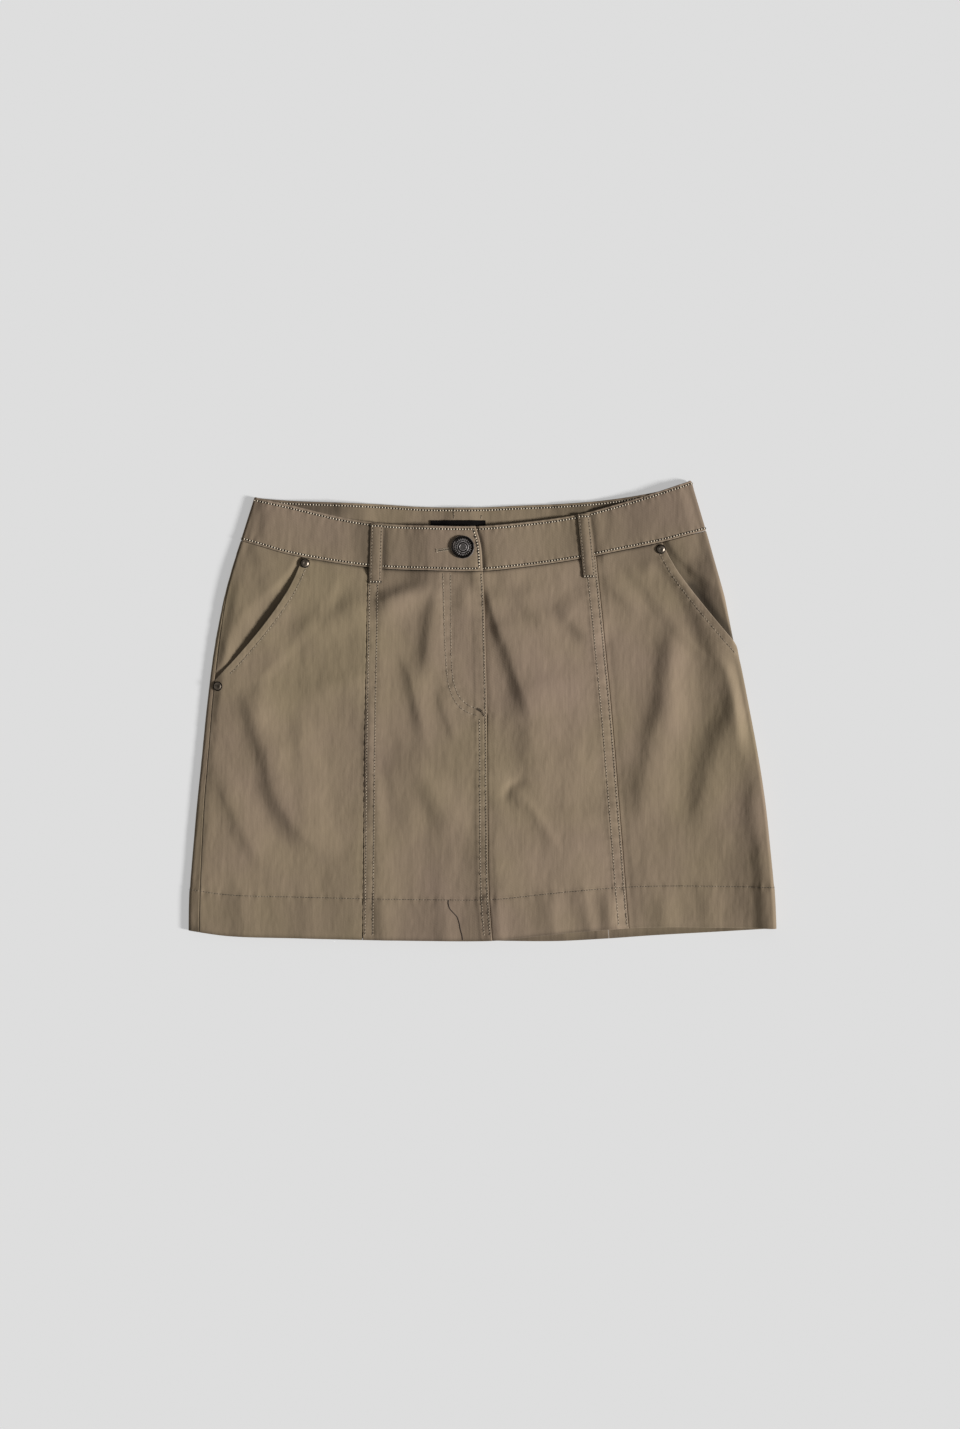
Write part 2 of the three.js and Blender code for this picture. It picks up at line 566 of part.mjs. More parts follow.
// Stands a trim on a top face, square to it.
function seated(geometry, { x, y }, heightOf) {
  const reach = 3;
  const slopeX = (heightOf(x + reach, y) - heightOf(x - reach, y)) / (2 * reach);
  const slopeY = (heightOf(x, y + reach) - heightOf(x, y - reach)) / (2 * reach);
  const normal = new THREE.Vector3(-slopeX, -slopeY, 1).normalize();
  const turn = new THREE.Quaternion().setFromUnitVectors(new THREE.Vector3(0, 0, 1), normal);
  return geometry.clone().applyQuaternion(turn).translate(x, y, heightOf(x, y));
}

// Levels where a column meets an edge that runs from side to side.
function meet(column, placeOf, edgeAt, near) {
  let y = near;
  for (let turn = 0; turn < 5; turn += 1) y = edgeAt(placeOf(column(y), y));
  return y;
}

// Evenly spread numbers from first to last, and columns spread between two others.
function spread(first, last, steps) {
  return Array.from({ length: steps + 1 }, (_, k) => mix(first, last, k / steps));
}

function columnsBetween(first, last, steps) {
  return spread(0, 1, steps).map((t) => (y) => mix(first(y), last(y), t));
}

// Body panels: the hem's turn is thicker, and a close pair of rows marks where it ends.
const SIDE_ROWS = 16;
const BACK_ROWS = 7;
const FLY_ROWS = 8;
const BELOW_FLY_ROWS = 11;
const HEM_STEP = 0.5;
const wallOf = (j) => (j < 2 ? HEM_WALL : CLOTH);

function panelLevels(placeOf, rows) {
  return (column) => {
    const hem = meet(column, placeOf, hemAt, -180);
    const seam = meet(column, placeOf, seamAt, 130) - SEAM_GAP / 2;
    return [hem, hem + HEM_DEPTH, ...spread(hem + HEM_DEPTH + HEM_STEP, seam, rows)];
  };
}

function centreLevels(column) {
  const hem = meet(column, frontPlace, hemAt, -180);
  const seam = meet(column, frontPlace, seamAt, 130) - SEAM_GAP / 2;
  const below = spread(hem + HEM_DEPTH + HEM_STEP, FLY_END, BELOW_FLY_ROWS);
  return [hem, hem + HEM_DEPTH, ...below, ...spread(FLY_END + FLAP_START, seam, FLY_ROWS)];
}

function frontPanel(columns, levelsOf, heightOf, keep) {
  return clothWall({
    columns,
    levelsOf,
    outer: (s, y) => onFront(s, y, 0, heightOf),
    inner: (s, y, i, j) => onFront(s, y, wallOf(j), heightOf),
    keep,
  });
}

function backPanel(columns, levelsOf) {
  return clothWall({
    columns,
    levelsOf,
    outer: (s, y) => onBack(s, y, 0, sideTop),
    inner: (s, y, i, j) => onBack(s, y, wallOf(j), sideTop),
  });
}

// Seam lines, each side of the gap between two panels.
const half = SEAM_GAP / 2;
const seamLine = (column, side) => (y) => level(column, y) + side * half;
const offset = (line, by) => (y) => line(y) + by;

// Front side panels, cut away at the pocket mouths, and the pocket facings, which are cut over the
// same net and lie one layer lower, rising to the panel's own level beyond the mouth. Where a
// panel goes round the fold, the facing under it stops short.
const FOLD_COLUMNS = 7;
const FACING_RISE = 14; // past the mouth, where the facing leaves its lower layer
const FACING_FULL = 30; // and where it is at the panel's own level
const leftSideColumns = columnsBetween(offset(frontLeftEnd, half), seamLine("leftSeam", -1), 12);
const rightSideColumns = [
  ...columnsBetween(seamLine("rightSeam", 1), rightStart, 11),
  ...columnsBetween(rightStart, offset(frontRightEnd, -half), FOLD_COLUMNS).slice(1),
];
const pastMouthLeft = (s, y) => mouthLeft(y) - s;
const pastMouthRight = (s, y) => s - mouthRight(y);

function pocketFacing(columns, pastMouth, mouthEnd) {
  const depth = (s, y) => LAYER * ease(FACING_FULL, FACING_RISE, pastMouth(s, y));
  return clothWall({
    columns,
    levelsOf: panelLevels(frontPlace, SIDE_ROWS),
    outer: (s, y) => onFront(s, y, depth(s, y), sideTop),
    inner: (s, y) => onFront(s, y, depth(s, y) + CLOTH, sideTop),
    keep: (s, y) => Math.min(
      pastMouth(s, Math.max(y, mouthEnd)) + FACING_WIDTH,
      y - mouthEnd + FACING_WIDTH,
      Math.max(pastMouth(s, y), rightStart(y) - s),
    ),
  });
}

const facingLeft = pocketFacing(leftSideColumns, pastMouthLeft, MOUTH_END_LEFT);
const facingRight = pocketFacing(rightSideColumns, pastMouthRight, MOUTH_END_RIGHT);
const sideLevels = panelLevels(frontPlace, SIDE_ROWS);
const frontSideLeft = frontPanel(leftSideColumns, sideLevels, sideTop, (s, y) => -pastMouthLeft(s, y));
const frontSideRight = frontPanel(rightSideColumns, sideLevels, sideTop, (s, y) => -pastMouthRight(s, y));

// Pocket rivets: a domed cap, and a post through the cloth.
const RIVET_RIM = 0.2;
const RIVET_CROWN = 0.2;
const RIVET_SHOULDER = RIVET_RADIUS * 0.72;
const HOLE_REACH = 15; // of a cutter each way from a face, more than the cloth it goes through
const rivet = turned([
  [0, -RIVET_POST], [POST_RADIUS, -RIVET_POST], [POST_RADIUS, TRIM_GAP], [RIVET_RADIUS, TRIM_GAP],
  [RIVET_RADIUS, TRIM_GAP + RIVET_RIM], [RIVET_SHOULDER, RIVET_HEIGHT], [0, RIVET_HEIGHT + RIVET_CROWN],
], 14);
const rivetHole = hole(POST_RADIUS + POST_CLEARANCE, -HOLE_REACH, HOLE_REACH);
const rivetUnder = (geometry) => geometry.clone().rotateX(Math.PI)
  .translate(RIVET_LOW_RIGHT.x, RIVET_LOW_RIGHT.y, RIVET_HEIGHT + PLY_GAP);
const leftHoles = [RIVET_TOP_LEFT, RIVET_LOW_LEFT].map((place) => seated(rivetHole, place, sideTop));
const rightHoles = [seated(rivetHole, RIVET_TOP_RIGHT, sideTop)];
const underHole = [hole(POST_RADIUS + POST_CLEARANCE, -HOLE_REACH, LAYER + CLOTH + PLY_GAP * 2)
  .translate(RIVET_LOW_RIGHT.x, RIVET_LOW_RIGHT.y, RIVET_HEIGHT)];

add("front_side_left", cutAway(frontSideLeft, leftHoles), twill());
add("pocket_facing_left", cutAway(facingLeft, leftHoles), twill());
add("front_side_right", cutAway(frontSideRight, [...rightHoles, ...underHole]), twill());
add("pocket_facing_right", cutAway(facingRight, [...rightHoles, ...underHole]), twill());
add("rivet_top_left", seated(rivet, RIVET_TOP_LEFT, sideTop), darkMetal());
add("rivet_low_left", seated(rivet, RIVET_LOW_LEFT, sideTop), darkMetal());
add("rivet_top_right", seated(rivet, RIVET_TOP_RIGHT, sideTop), darkMetal());
add("rivet_low_right", rivetUnder(rivet), darkMetal());

// Front centre panels. The left one ends in the flap's edge above the fly's end, and there the
// right one runs on under it.
const underEdge = (y) => level("centre", y) + (y < FLY_END + FLAP_START / 2 ? half : -FLAP_COVER);
const overEdge = (y) => level("centre", y) - half;
const centreLeftColumns = columnsBetween(seamLine("leftSeam", 1), overEdge, 9);
const centreRightColumns = columnsBetween(underEdge, seamLine("rightSeam", -1), 9);
add("front_centre_left", frontPanel(centreLeftColumns, centreLevels, flapTop), twill());
add("front_centre_right", frontPanel(centreRightColumns, centreLevels, underflapTop), twill());

// Back panels. Their columns, and the centre one's rows, mark where the cloth lies flat on the
// hidden belt loops.
const backSideLevels = panelLevels(backPlace, SIDE_ROWS);

function backCentreLevels(column) {
  const seam = meet(column, backPlace, seamAt, 130) - half;
  return [...panelLevels(backPlace, BACK_ROWS)(column).slice(0, -1), seam - BACK_REACH - 5, seam];
}

const backLoopLines = BACK_LOOPS.map((loop) => (loop.topX + loop.lowX) / 2);
const besideLoop = (line) => [-LOOP_FADE, -LOOP_FLAT, LOOP_FLAT, LOOP_FADE].map((by) => () => line + by);
const leftBackSeam = seamLine("backLeft", -1);
const rightBackSeam = seamLine("backRight", 1);
const leftFoldColumns = columnsBetween(offset(backLeftEnd, half), leftStart, FOLD_COLUMNS);
add("back_side_left", backPanel([
  ...leftFoldColumns,
  ...columnsBetween(leftStart, offset(leftBackSeam, -18), 2).slice(1),
  offset(leftBackSeam, -6),
  leftBackSeam,
], backSideLevels), twill());
add("back_centre", backPanel([
  seamLine("backLeft", 1),
  offset(leftBackSeam, 8),
  offset(leftBackSeam, 20),
  () => -60,
  ...besideLoop(backLoopLines[1]),
  () => 30,
  offset(rightBackSeam, -20),
  offset(rightBackSeam, -8),
  seamLine("backRight", -1),
], backCentreLevels), twill());
add("back_side_right", cutAway(backPanel([
  rightBackSeam,
  offset(rightBackSeam, 6),
  ...columnsBetween(offset(rightBackSeam, 18), offset(backRightEnd, -half), 6),
], backSideLevels), underHole), twill());

// Waistband. Each piece runs from the waist seam to the upper edge.
const BAND_ROWS = 3;

function bandLevels(placeOf) {
  return (column) => {
    const seam = meet(column, placeOf, seamAt, 130) + half;
    return spread(seam, meet(column, placeOf, topAt, 170), BAND_ROWS);
  };
}

function band(columns, heightOf) {
  return clothWall({
    columns,
    levelsOf: bandLevels(frontPlace),
    outer: (s, y) => onFront(s, y, 0, heightOf),
    inner: (s, y) => onFront(s, y, BAND_WALL, heightOf),
  });
}

function backBand(columns, depth) {
  return clothWall({
    columns,
    levelsOf: bandLevels(backPlace),
    outer: (s, y) => onBack(s, y, depth, bandTop),
    inner: (s, y) => onBack(s, y, depth + CLOTH, bandTop),
  });
}

const overlapEnd = (y) => level("centre", y);
const bandOver = band(columnsBetween(offset(frontLeftEnd, half), overlapEnd, 15), bandOverTop);
const bandUnder = band([
  ...columnsBetween(() => -UNDERLAP, rightStart, 15),
  ...columnsBetween(rightStart, offset(frontRightEnd, -half), FOLD_COLUMNS).slice(1),
], bandTop);
const acrossBack = [
  ...columnsBetween((y) => leftStart(y) + PLY_GAP, () => -141, 3),
  ...besideLoop(backLoopLines[0]),
  () => -60,
  ...besideLoop(backLoopLines[1]),
  () => 30,
  ...besideLoop(backLoopLines[2]),
  ...columnsBetween(() => 112, offset(backRightEnd, -half), 3),
];

// Metal button: its cap stands on the left end of the waistband, its shank goes through the
// buttonhole and its stud is riveted into the underlap.
const SHANK_DEPTH = BAND_WALL;
const STUD_DEPTH = BAND_WALL + PLY_GAP + 1;
const BUTTON_CHAMFER = 0.6;
const BUTTON_RIM = { outer: BUTTON_RADIUS - 0.7, inner: BUTTON_RADIUS - 1.5, foot: BUTTON_RADIUS - 2.2 };
const BUTTON_EDGE = 2.1; // height of its upright side
const BUTTON_FACE = 2.5; // height of the flat inside the rim
const button = turned([
  [0, -STUD_DEPTH], [POST_RADIUS, -STUD_DEPTH], [POST_RADIUS, -SHANK_DEPTH],
  [BUTTON_SHANK_RADIUS, -SHANK_DEPTH], [BUTTON_SHANK_RADIUS, TRIM_GAP],
  [BUTTON_RADIUS - BUTTON_CHAMFER, TRIM_GAP], [BUTTON_RADIUS, TRIM_GAP + BUTTON_CHAMFER],
  [BUTTON_RADIUS, BUTTON_EDGE], [BUTTON_RIM.outer, BUTTON_HEIGHT], [BUTTON_RIM.inner, BUTTON_HEIGHT],
  [BUTTON_RIM.foot, BUTTON_FACE], [0, BUTTON_FACE],
], 24);
const buttonSeat = bandOverTop(BUTTON_PLACE.x, BUTTON_PLACE.y);
const atButton = (geometry) => geometry.translate(BUTTON_PLACE.x, BUTTON_PLACE.y, buttonSeat);
const buttonholeEye = atButton(hole(BUTTON_SHANK_RADIUS + POST_CLEARANCE, -HOLE_REACH, HOLE_REACH));
const buttonholeSlit = atButton(new THREE.BoxGeometry(BUTTONHOLE_LENGTH, SLIT_WIDTH, 2 * HOLE_REACH)
  .translate(-BUTTONHOLE_LENGTH / 2, 0, 0));
const studHole = atButton(hole(POST_RADIUS + POST_CLEARANCE, -STUD_DEPTH - PLY_GAP, HOLE_REACH));
add("waistband_front_left", cutAway(bandOver, [buttonholeEye, buttonholeSlit]), twill());
add("waistband_front_right", cutAway(bandUnder, [studHole]), twill());
add("waistband_back", backBand([...leftFoldColumns, ...acrossBack], 0), twill());
add("waistband_back_facing", backBand(acrossBack, LAYER), twill());
add("waist_button", atButton(button), darkMetal());

// Label, sewn to the back facing and left bare.
const labelMiddle = backLoopLines[1] - 4;
add("size_label", clothWall({
  columns: [
    () => labelMiddle - LABEL_WIDTH / 2,
    ...besideLoop(backLoopLines[1]).slice(1, 3),
    () => labelMiddle + LABEL_WIDTH / 2,
  ],
  levelsOf: (column) => {
    const upper = waistLine("backTop", column(0)) - LABEL_DROP;
    return [upper - LABEL_DEPTH, upper];
  },
  outer: (s, y) => onBack(s, y, 2 * LAYER, bandTop),
  inner: (s, y) => onBack(s, y, 2 * LAYER + LABEL_WALL, bandTop),
}), blackWeave());

// Belt loops: strips sewn in at the waistband's upper edge and to the panel below it.
const LOOP_ROWS = 8;
const LOOP_INSET = 0.6; // its upper end below the waistband's edge
const LOOP_STEP = 7; // stretch over which it climbs from the panel to the waistband
const LOOP_GAP = 0.45;

function beltLoop({ topX, lowX, reach }, seamColumn, topColumn, heightOf) {
  const low = waistLine(seamColumn, lowX) - reach;
  const high = waistLine(topColumn, topX) - LOOP_INSET;
  const middle = (y) => mix(lowX, topX, (y - low) / (high - low));
  return clothWall({
    columns: columnsBetween((y) => middle(y) - LOOP_WIDTH / 2, (y) => middle(y) + LOOP_WIDTH / 2, 1),
    levelsOf: () => spread(low, high, LOOP_ROWS),
    outer: (s, y) => [s, y, heightOf(middle(y), y, (y - low) / (high - low)) + LOOP_WALL],
    inner: (s, y) => [s, y, heightOf(middle(y), y, (y - low) / (high - low))],
  });
}

function overWaist(x, y, t) {
  const seam = waistLine("seam", x);
  const onPanel = sideTop(x, Math.min(y, seam));
  const onBand = bandTop(x, y);
  const surface = mix(onPanel, onBand, ease(seam - LOOP_STEP, seam - 1, y));
  return surface + LOOP_GAP + LOOP_BOW * Math.sin(Math.PI * t);
}

for (const loop of FRONT_LOOPS) add(loop.name, beltLoop(loop, "seam", "top", overWaist), twill());
for (const loop of BACK_LOOPS) add(loop.name, beltLoop(loop, "backSeam", "backTop", () => 0), twill());

// Zip, closed, and its slider: plain, under the flap.
const ZIP_LOW = 2;
const ZIP_HIGH = 108;
const zipMiddle = (y) => level("centre", y) - ZIP_OFFSET;
const tape = ZIP_WIDTH / 2;
const chain = ZIP_CHAIN_WIDTH / 2;
const zipEdges = [-tape, -chain, ZIP_BEVEL - chain, chain - ZIP_BEVEL, chain, tape];
const zipWall = (i) => (i === 2 || i === 3 ? ZIP_CHAIN_WALL : ZIP_TAPE_WALL);
add("fly_zip", clothWall({
  columns: zipEdges.map((edge) => (y) => zipMiddle(y) + edge),
  levelsOf: () => spread(ZIP_LOW, ZIP_HIGH, 6),
  outer: (s, y) => onBack(s, y, LAYER, sideTop),
  inner: (s, y, i) => onBack(s, y, LAYER + zipWall(i), sideTop),
}), zipTape());

const SLIDER_Y = 88;
const SLIDER_HALF_WIDTH = 4;
const SLIDER_LENGTH = 10;
const SLIDER_WALL = 0.7;
const SLIDER_GAP = 0.5; // above the chain
const TAB_LENGTH = 15;
const TAB_HALF_WIDTH = 2.4;
const TAB_WALL = 0.5;
const sliderOutline = new THREE.Shape([
  [-TAB_HALF_WIDTH, -SLIDER_LENGTH / 2], [TAB_HALF_WIDTH, -SLIDER_LENGTH / 2],
  [SLIDER_HALF_WIDTH, 1], [SLIDER_HALF_WIDTH, SLIDER_LENGTH / 2],
  [-SLIDER_HALF_WIDTH, SLIDER_LENGTH / 2], [-SLIDER_HALF_WIDTH, 1],
].map(([x, y]) => new THREE.Vector2(x, y)));
const sliderBody = new THREE.ExtrudeGeometry(sliderOutline, { depth: SLIDER_WALL, bevelEnabled: false });
const pullTab = new THREE.BoxGeometry(2 * TAB_HALF_WIDTH, TAB_LENGTH, TAB_WALL)
  .translate(0, -SLIDER_LENGTH / 2 - TAB_LENGTH / 2 + 2, SLIDER_WALL / 2);
const sliderSeat = LAYER + ZIP_CHAIN_WALL + SLIDER_GAP;
const slider = joined(sliderBody, pullTab).translate(zipMiddle(SLIDER_Y), SLIDER_Y, sliderSeat);
add("zip_slider", slider, darkMetal());

export default skirt;
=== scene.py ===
"""An A-line mini skirt with a zip fly, in cotton twill, laid flat on its back.

Metres throughout. +X is to the right of someone looking down at the front, +Y runs from the hem to
the waist and +Z is up. The pieces follow each other as they lie: back, pockets, front, waist, trims.
"""
import math

import bpy
import numpy as np
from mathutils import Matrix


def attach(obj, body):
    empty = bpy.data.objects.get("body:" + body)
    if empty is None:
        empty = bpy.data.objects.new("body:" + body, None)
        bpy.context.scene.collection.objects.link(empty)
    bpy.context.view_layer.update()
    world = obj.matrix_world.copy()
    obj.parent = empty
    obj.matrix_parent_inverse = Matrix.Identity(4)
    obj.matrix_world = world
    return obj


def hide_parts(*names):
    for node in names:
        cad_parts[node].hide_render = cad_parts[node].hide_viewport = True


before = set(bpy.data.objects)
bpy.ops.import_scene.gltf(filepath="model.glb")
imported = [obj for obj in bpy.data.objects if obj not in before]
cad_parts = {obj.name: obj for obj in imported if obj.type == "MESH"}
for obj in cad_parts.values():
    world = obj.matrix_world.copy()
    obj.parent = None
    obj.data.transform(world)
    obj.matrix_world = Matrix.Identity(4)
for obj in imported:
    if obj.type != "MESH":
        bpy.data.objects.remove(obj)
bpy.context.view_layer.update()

# Camera: it looks straight down, from so high that the lens hardly bends the skirt's outline.
VIEW_LENGTH = 1.172  # of floor, that the long side of the view takes in
VIEW_MIDDLE = (-0.0020, -0.0029)
LENS = 0.070
SENSOR = 0.036
bpy.ops.object.camera_add(location=(*VIEW_MIDDLE, VIEW_LENGTH * LENS / SENSOR))
camera = bpy.context.object
camera.name = "view_from_above"
camera.data.sensor_fit = "VERTICAL"
camera.data.sensor_height = SENSOR * 1000
camera.data.lens = LENS * 1000
camera.data.clip_end = 100
bpy.context.scene.camera = camera
bpy.context.scene.view_settings.view_transform = "Standard"

# Floor and light: a plain pale surface, a soft low sun from the right and a little from the hem's
# side, and an even pale sky that fills the shadows.
FLOOR_DROP = 0.0004
FLOOR_SIZE = 90
FLOOR_GREY, FLOOR_GLOW = (0.36, 0.36, 0.36, 1), 0.40
WHITE = (1, 1, 1, 1)
SUN_HEIGHT = math.radians(26)
SUN_SIDE = math.radians(-12)
SUN_STRENGTH = 5.2
SUN_SPREAD = math.radians(12)
SKY_STRENGTH = 0.19
bpy.ops.object.select_all(action="DESELECT")
bpy.ops.mesh.primitive_plane_add(size=FLOOR_SIZE, location=(0, 0, -FLOOR_DROP))
floor = bpy.context.object
floor.name = "floor"
floor_paint = bpy.data.materials.new("pale_floor")
floor_paint.use_nodes = True
for socket, value in (("Base Color", FLOOR_GREY), ("Emission Color", WHITE),
                      ("Emission Strength", FLOOR_GLOW), ("Roughness", 0.9), ("Specular IOR Level", 0.0)):
    floor_paint.node_tree.nodes["Principled BSDF"].inputs[socket].default_value = value
floor.data.materials.append(floor_paint)
bpy.ops.object.light_add(type="SUN", rotation=(0, math.pi / 2 - SUN_HEIGHT, SUN_SIDE))
sun = bpy.context.object
sun.name = "soft_sun"
sun.data.energy = SUN_STRENGTH
sun.data.angle = SUN_SPREAD
sky = bpy.data.worlds.new("pale_sky")
sky.use_nodes = True
for socket, value in (("Color", WHITE), ("Strength", SKY_STRENGTH)):
    sky.node_tree.nodes["Background"].inputs[socket].default_value = value
bpy.context.scene.world = sky

# Back panels: three pieces of cotton twill sewn together and hemmed, which lie flat on the floor.
# The side ones' outer edges go round the left fold, and stop just short of the right one.
CLOTH = 0.0011  # one ply, with its seam allowances pressed flat
AIR = 0.0003  # between one layer and the next
HEM_WALL = 0.0018
SEAM_GAP = 0.0003
HALF_GAP = SEAM_GAP / 2
LAYER = CLOTH + AIR
BAND_WALL = 0.0018
LOOP_WALL = 0.0013
BAND_HEIGHT = 0.0064
BAND_MIDDLE_HEIGHT = 0.0073  # over the label
FRONT_HEIGHT = 0.0047
HEM_HEIGHT = 0.0046
HEM_DEPTH = 0.0338
SEAM_STEP = 0.0010  # the front's upper edge below the waistband's face
LOWEST_FRONT = LAYER + CLOTH + 0.0002
RIVET_LIFT = 0.0016
UNDERLAP = 0.040
# Where the front drags down from the waistband: across, how wide and how deep.
WAIST_DRAGS = ((-0.062, 0.024, 0.0026), (0.130, 0.016, 0.0012), (-0.020, 0.014, 0.0015),
               (0.008, 0.010, 0.0009))


def table(names, *rows):
    """Columns by name, from rows in millimetres."""
    return dict(zip(names.split(), np.array(rows, dtype=float).T / 1000))


# Levels of the laid tube: its outer edges, the radius of the fold there, and where seams cross it.
LEVELS = table(
    "y left right left_roll right_roll side_seam wrap left_seam centre right_seam back_left back_right",
    (-190, -240.6, 240.6, 2.4, 3.6, -232.2, 8.5, -98.1, 8.2, 120.8, -120, 104),
    (-151, -240.0, 239.0, 2.4, 3.3, -231.3, 8.5, -97.7, 5.4, 117.6, -119, 101),
    (-114, -237.2, 235.6, 2.4, 3.0, -229.8, 8.5, -97.3, 4.5, 114.8, -118, 98),
    (-73, -233.6, 231.2, 2.4, 2.8, -227.6, 9, -96.9, 4.2, 111.5, -116.5, 94),
    (-32, -229.4, 224.8, 2.4, 2.8, -224.2, 10, -96.5, 4.0, 108.2, -115, 90),
    (9, -225.2, 217.3, 2.5, 3.3, -220.9, 11, -95.8, 3.6, 104.7, -113.5, 86.5),
    (50, -219.9, 208.8, 2.6, 3.8, -216.2, 12, -95.0, 2.6, 100.6, -111.5, 82.5),
    (91, -212.0, 198.8, 2.9, 3.4, -210.3, 12.5, -94.3, 1.5, 96.6, -109, 78.5),
    (115, -205.6, 192.2, 3.1, 3.2, -204.4, 12.5, -93.8, 0.1, 94.1, -107.5, 76.5),
    (139, -198.2, 185.6, 3.1, 3.1, -197.2, 12, -93.3, -2.2, 92.0, -106, 75),
    (175, -186.8, 175.0, 3.1, 3.1, -185.8, 11, -92.5, -15, 89.0, -104, 73),
    (189, -182.4, 170.8, 3.1, 3.1, -181.4, 10.5, -92, -21, 88.0, -103, 72),
)
HEM_LINE = table(
    "x front back",
    (-241, -179.8, -179.8), (-207, -184.4, -183.4), (-150, -186.2, -185.0), (-98, -187.4, -186.2),
    (-43, -188.3, -187.4), (8, -188.0, -188.2), (58, -182.9, -188.6), (100, -179.2, -186.6),
    (140, -177.2, -183.8), (190, -177.3, -181.0), (241, -178.0, -178.0),
)
# The waistband's lower and upper edge, in front and behind.
WAIST_LINE = table(
    "x front_seam front_top back_seam back_top",
    (-198, 139.4, 178.6, 139.4, 178.6),
    (-186, 136.0, 174.9, 138.4, 174.9),
    (-158, 128.0, 168.6, 136.1, 172.3),
    (-117, 120.6, 158.9, 132.8, 170.6),
    (-85, 116.7, 153.8, 131.4, 169.4),
    (-50, 115.1, 151.8, 129.4, 167.2),
    (-5, 114.2, 151.2, 128.8, 166.8),
    (30, 117.2, 154.0, 130.2, 168.3),
    (76, 123.8, 160.4, 132.4, 170.4),
    (113, 131.2, 170.0, 136.0, 174.2),
    (146, 138.0, 180.2, 140.6, 180.2),
    (171, 144.4, 188.6, 145.0, 188.6),
    (184, 147.8, 193.0, 147.8, 193.0),
)
BACK_LOOP_LINES = (-0.1055, -0.01675, 0.0745)  # where hidden belt loops lie under the back
LOW_RIVET = (-0.2164, 0.0202)
LOW_RIVET_UNDER_LEVEL = 0.034


def along(columns, key, column, place):
    """A smooth curve through a table's rows, straight beyond its ends."""
    keys, values = columns[key], columns[column]
    slopes = np.gradient(values, keys, edge_order=1)
    slopes[1:-1] = (values[2:] - values[:-2]) / (keys[2:] - keys[:-2])
    place = np.asarray(place, dtype=float)
    i = np.clip(np.searchsorted(keys, place) - 1, 0, len(keys) - 2)
    span = keys[i + 1] - keys[i]
    t = (place - keys[i]) / span
    rise = values[i + 1] - values[i]
    m0, m1 = slopes[i] * span, slopes[i + 1] * span
    inside = values[i] + m0 * t + (3 * rise - 2 * m0 - m1) * t**2 + (m0 + m1 - 2 * rise) * t**3
    before = values[0] + slopes[0] * (place - keys[0])
    beyond = values[-1] + slopes[-1] * (place - keys[-1])
    return np.where(place <= keys[0], before, np.where(place >= keys[-1], beyond, inside))


def ease(start, end, value):
    """0 before start, 1 after end and smooth between."""
    t = np.clip((value - start) / (end - start), 0, 1)
    return t * t * (3 - 2 * t)


def mix(a, b, t):
    return a + (b - a) * t


def bell(value, width):
    """1 at nothing, dying away on both sides over a width."""
    return np.exp(-((value / width) ** 2))


def level(column, y):
    return along(LEVELS, "y", column, y)


def waist(column, x):
    return along(WAIST_LINE, "x", column, x)


def hem_line(column, x):
    return along(HEM_LINE, "x", column, x)


def left_start(y):
    return level("left", y) + level("left_roll", y)


def right_start(y):
    return level("right", y) - level("right_roll", y)


def left_seam_round(y):
    """How far round the left fold, from the underside, the left side seam lies."""
    roll = level("left_roll", y)
    past = level("side_seam", y) - left_start(y)
    turned_back = roll * (math.pi - np.arcsin(np.clip(-past / roll, 0, 1)))
    return np.where(past >= 0, math.pi * roll + past, turned_back)


def right_seam_round(y):
    return level("right_roll", y) + level("wrap", y)


def front_left_end(y):
    return left_start(y) + left_seam_round(y) - math.pi * level("left_roll", y) + HALF_GAP


def front_right_end(y):
    return right_start(y) + right_seam_round(y) - HALF_GAP


def back_left_end(y):
    return left_start(y) - left_seam_round(y) + HALF_GAP


def back_right_end(y):
    return right_start(y) - right_seam_round(y) + math.pi * level("right_roll", y) - HALF_GAP


LOW_RIVET_UNDER_X = float(back_right_end(LOW_RIVET_UNDER_LEVEL)) + 0.002


def underside_lift(x, y):
    """How far the back's own loops and the rivet under the skirt hold the cloth off the floor."""
    away = np.hypot(x - LOW_RIVET_UNDER_X, y - LOW_RIVET_UNDER_LEVEL)
    lift = RIVET_LIFT * ease(0.032, 0.012, away)
    seam = waist("back_seam", x)
    over = (LOOP_WALL + AIR) * ease(seam - 0.034, seam - 0.015, y)
    for line in BACK_LOOP_LINES:
        lift = lift + over * ease(0.019, 0.007, np.abs(x - line))
    return lift


# Pocket mouths, from their upper end: how far out towards the side seam at a distance down.
MOUTH = table("down_left down_right out", (-14, -14, -6), (0, 0, 0), (27, 23, 12.3), (54.5, 48, 31),
              (82, 76, 54), (104, 99, 75))
MOUTH_LENGTH = 0.098
MOUTH_TOP_LEFT = (-0.1464, 0.1271)
MOUTH_TOP_RIGHT = (0.1470, 0.1380)
MOUTH_END_LEFT = MOUTH_TOP_LEFT[1] - 0.101
MOUTH_END_RIGHT = MOUTH_TOP_RIGHT[1] - 0.099
FACING_WIDTH = 0.026


def mid_mouth(down):
    """1 half-way down a pocket mouth and 0 at its ends and past them."""
    return np.sin(math.pi * np.clip(down / MOUTH_LENGTH, 0, 1)) ** 2


def mouth_left(y):
    return MOUTH_TOP_LEFT[0] - along(MOUTH, "down_left", "out", MOUTH_TOP_LEFT[1] - y)


def mouth_right(y):
    return MOUTH_TOP_RIGHT[0] + along(MOUTH, "down_right", "out", MOUTH_TOP_RIGHT[1] - y)


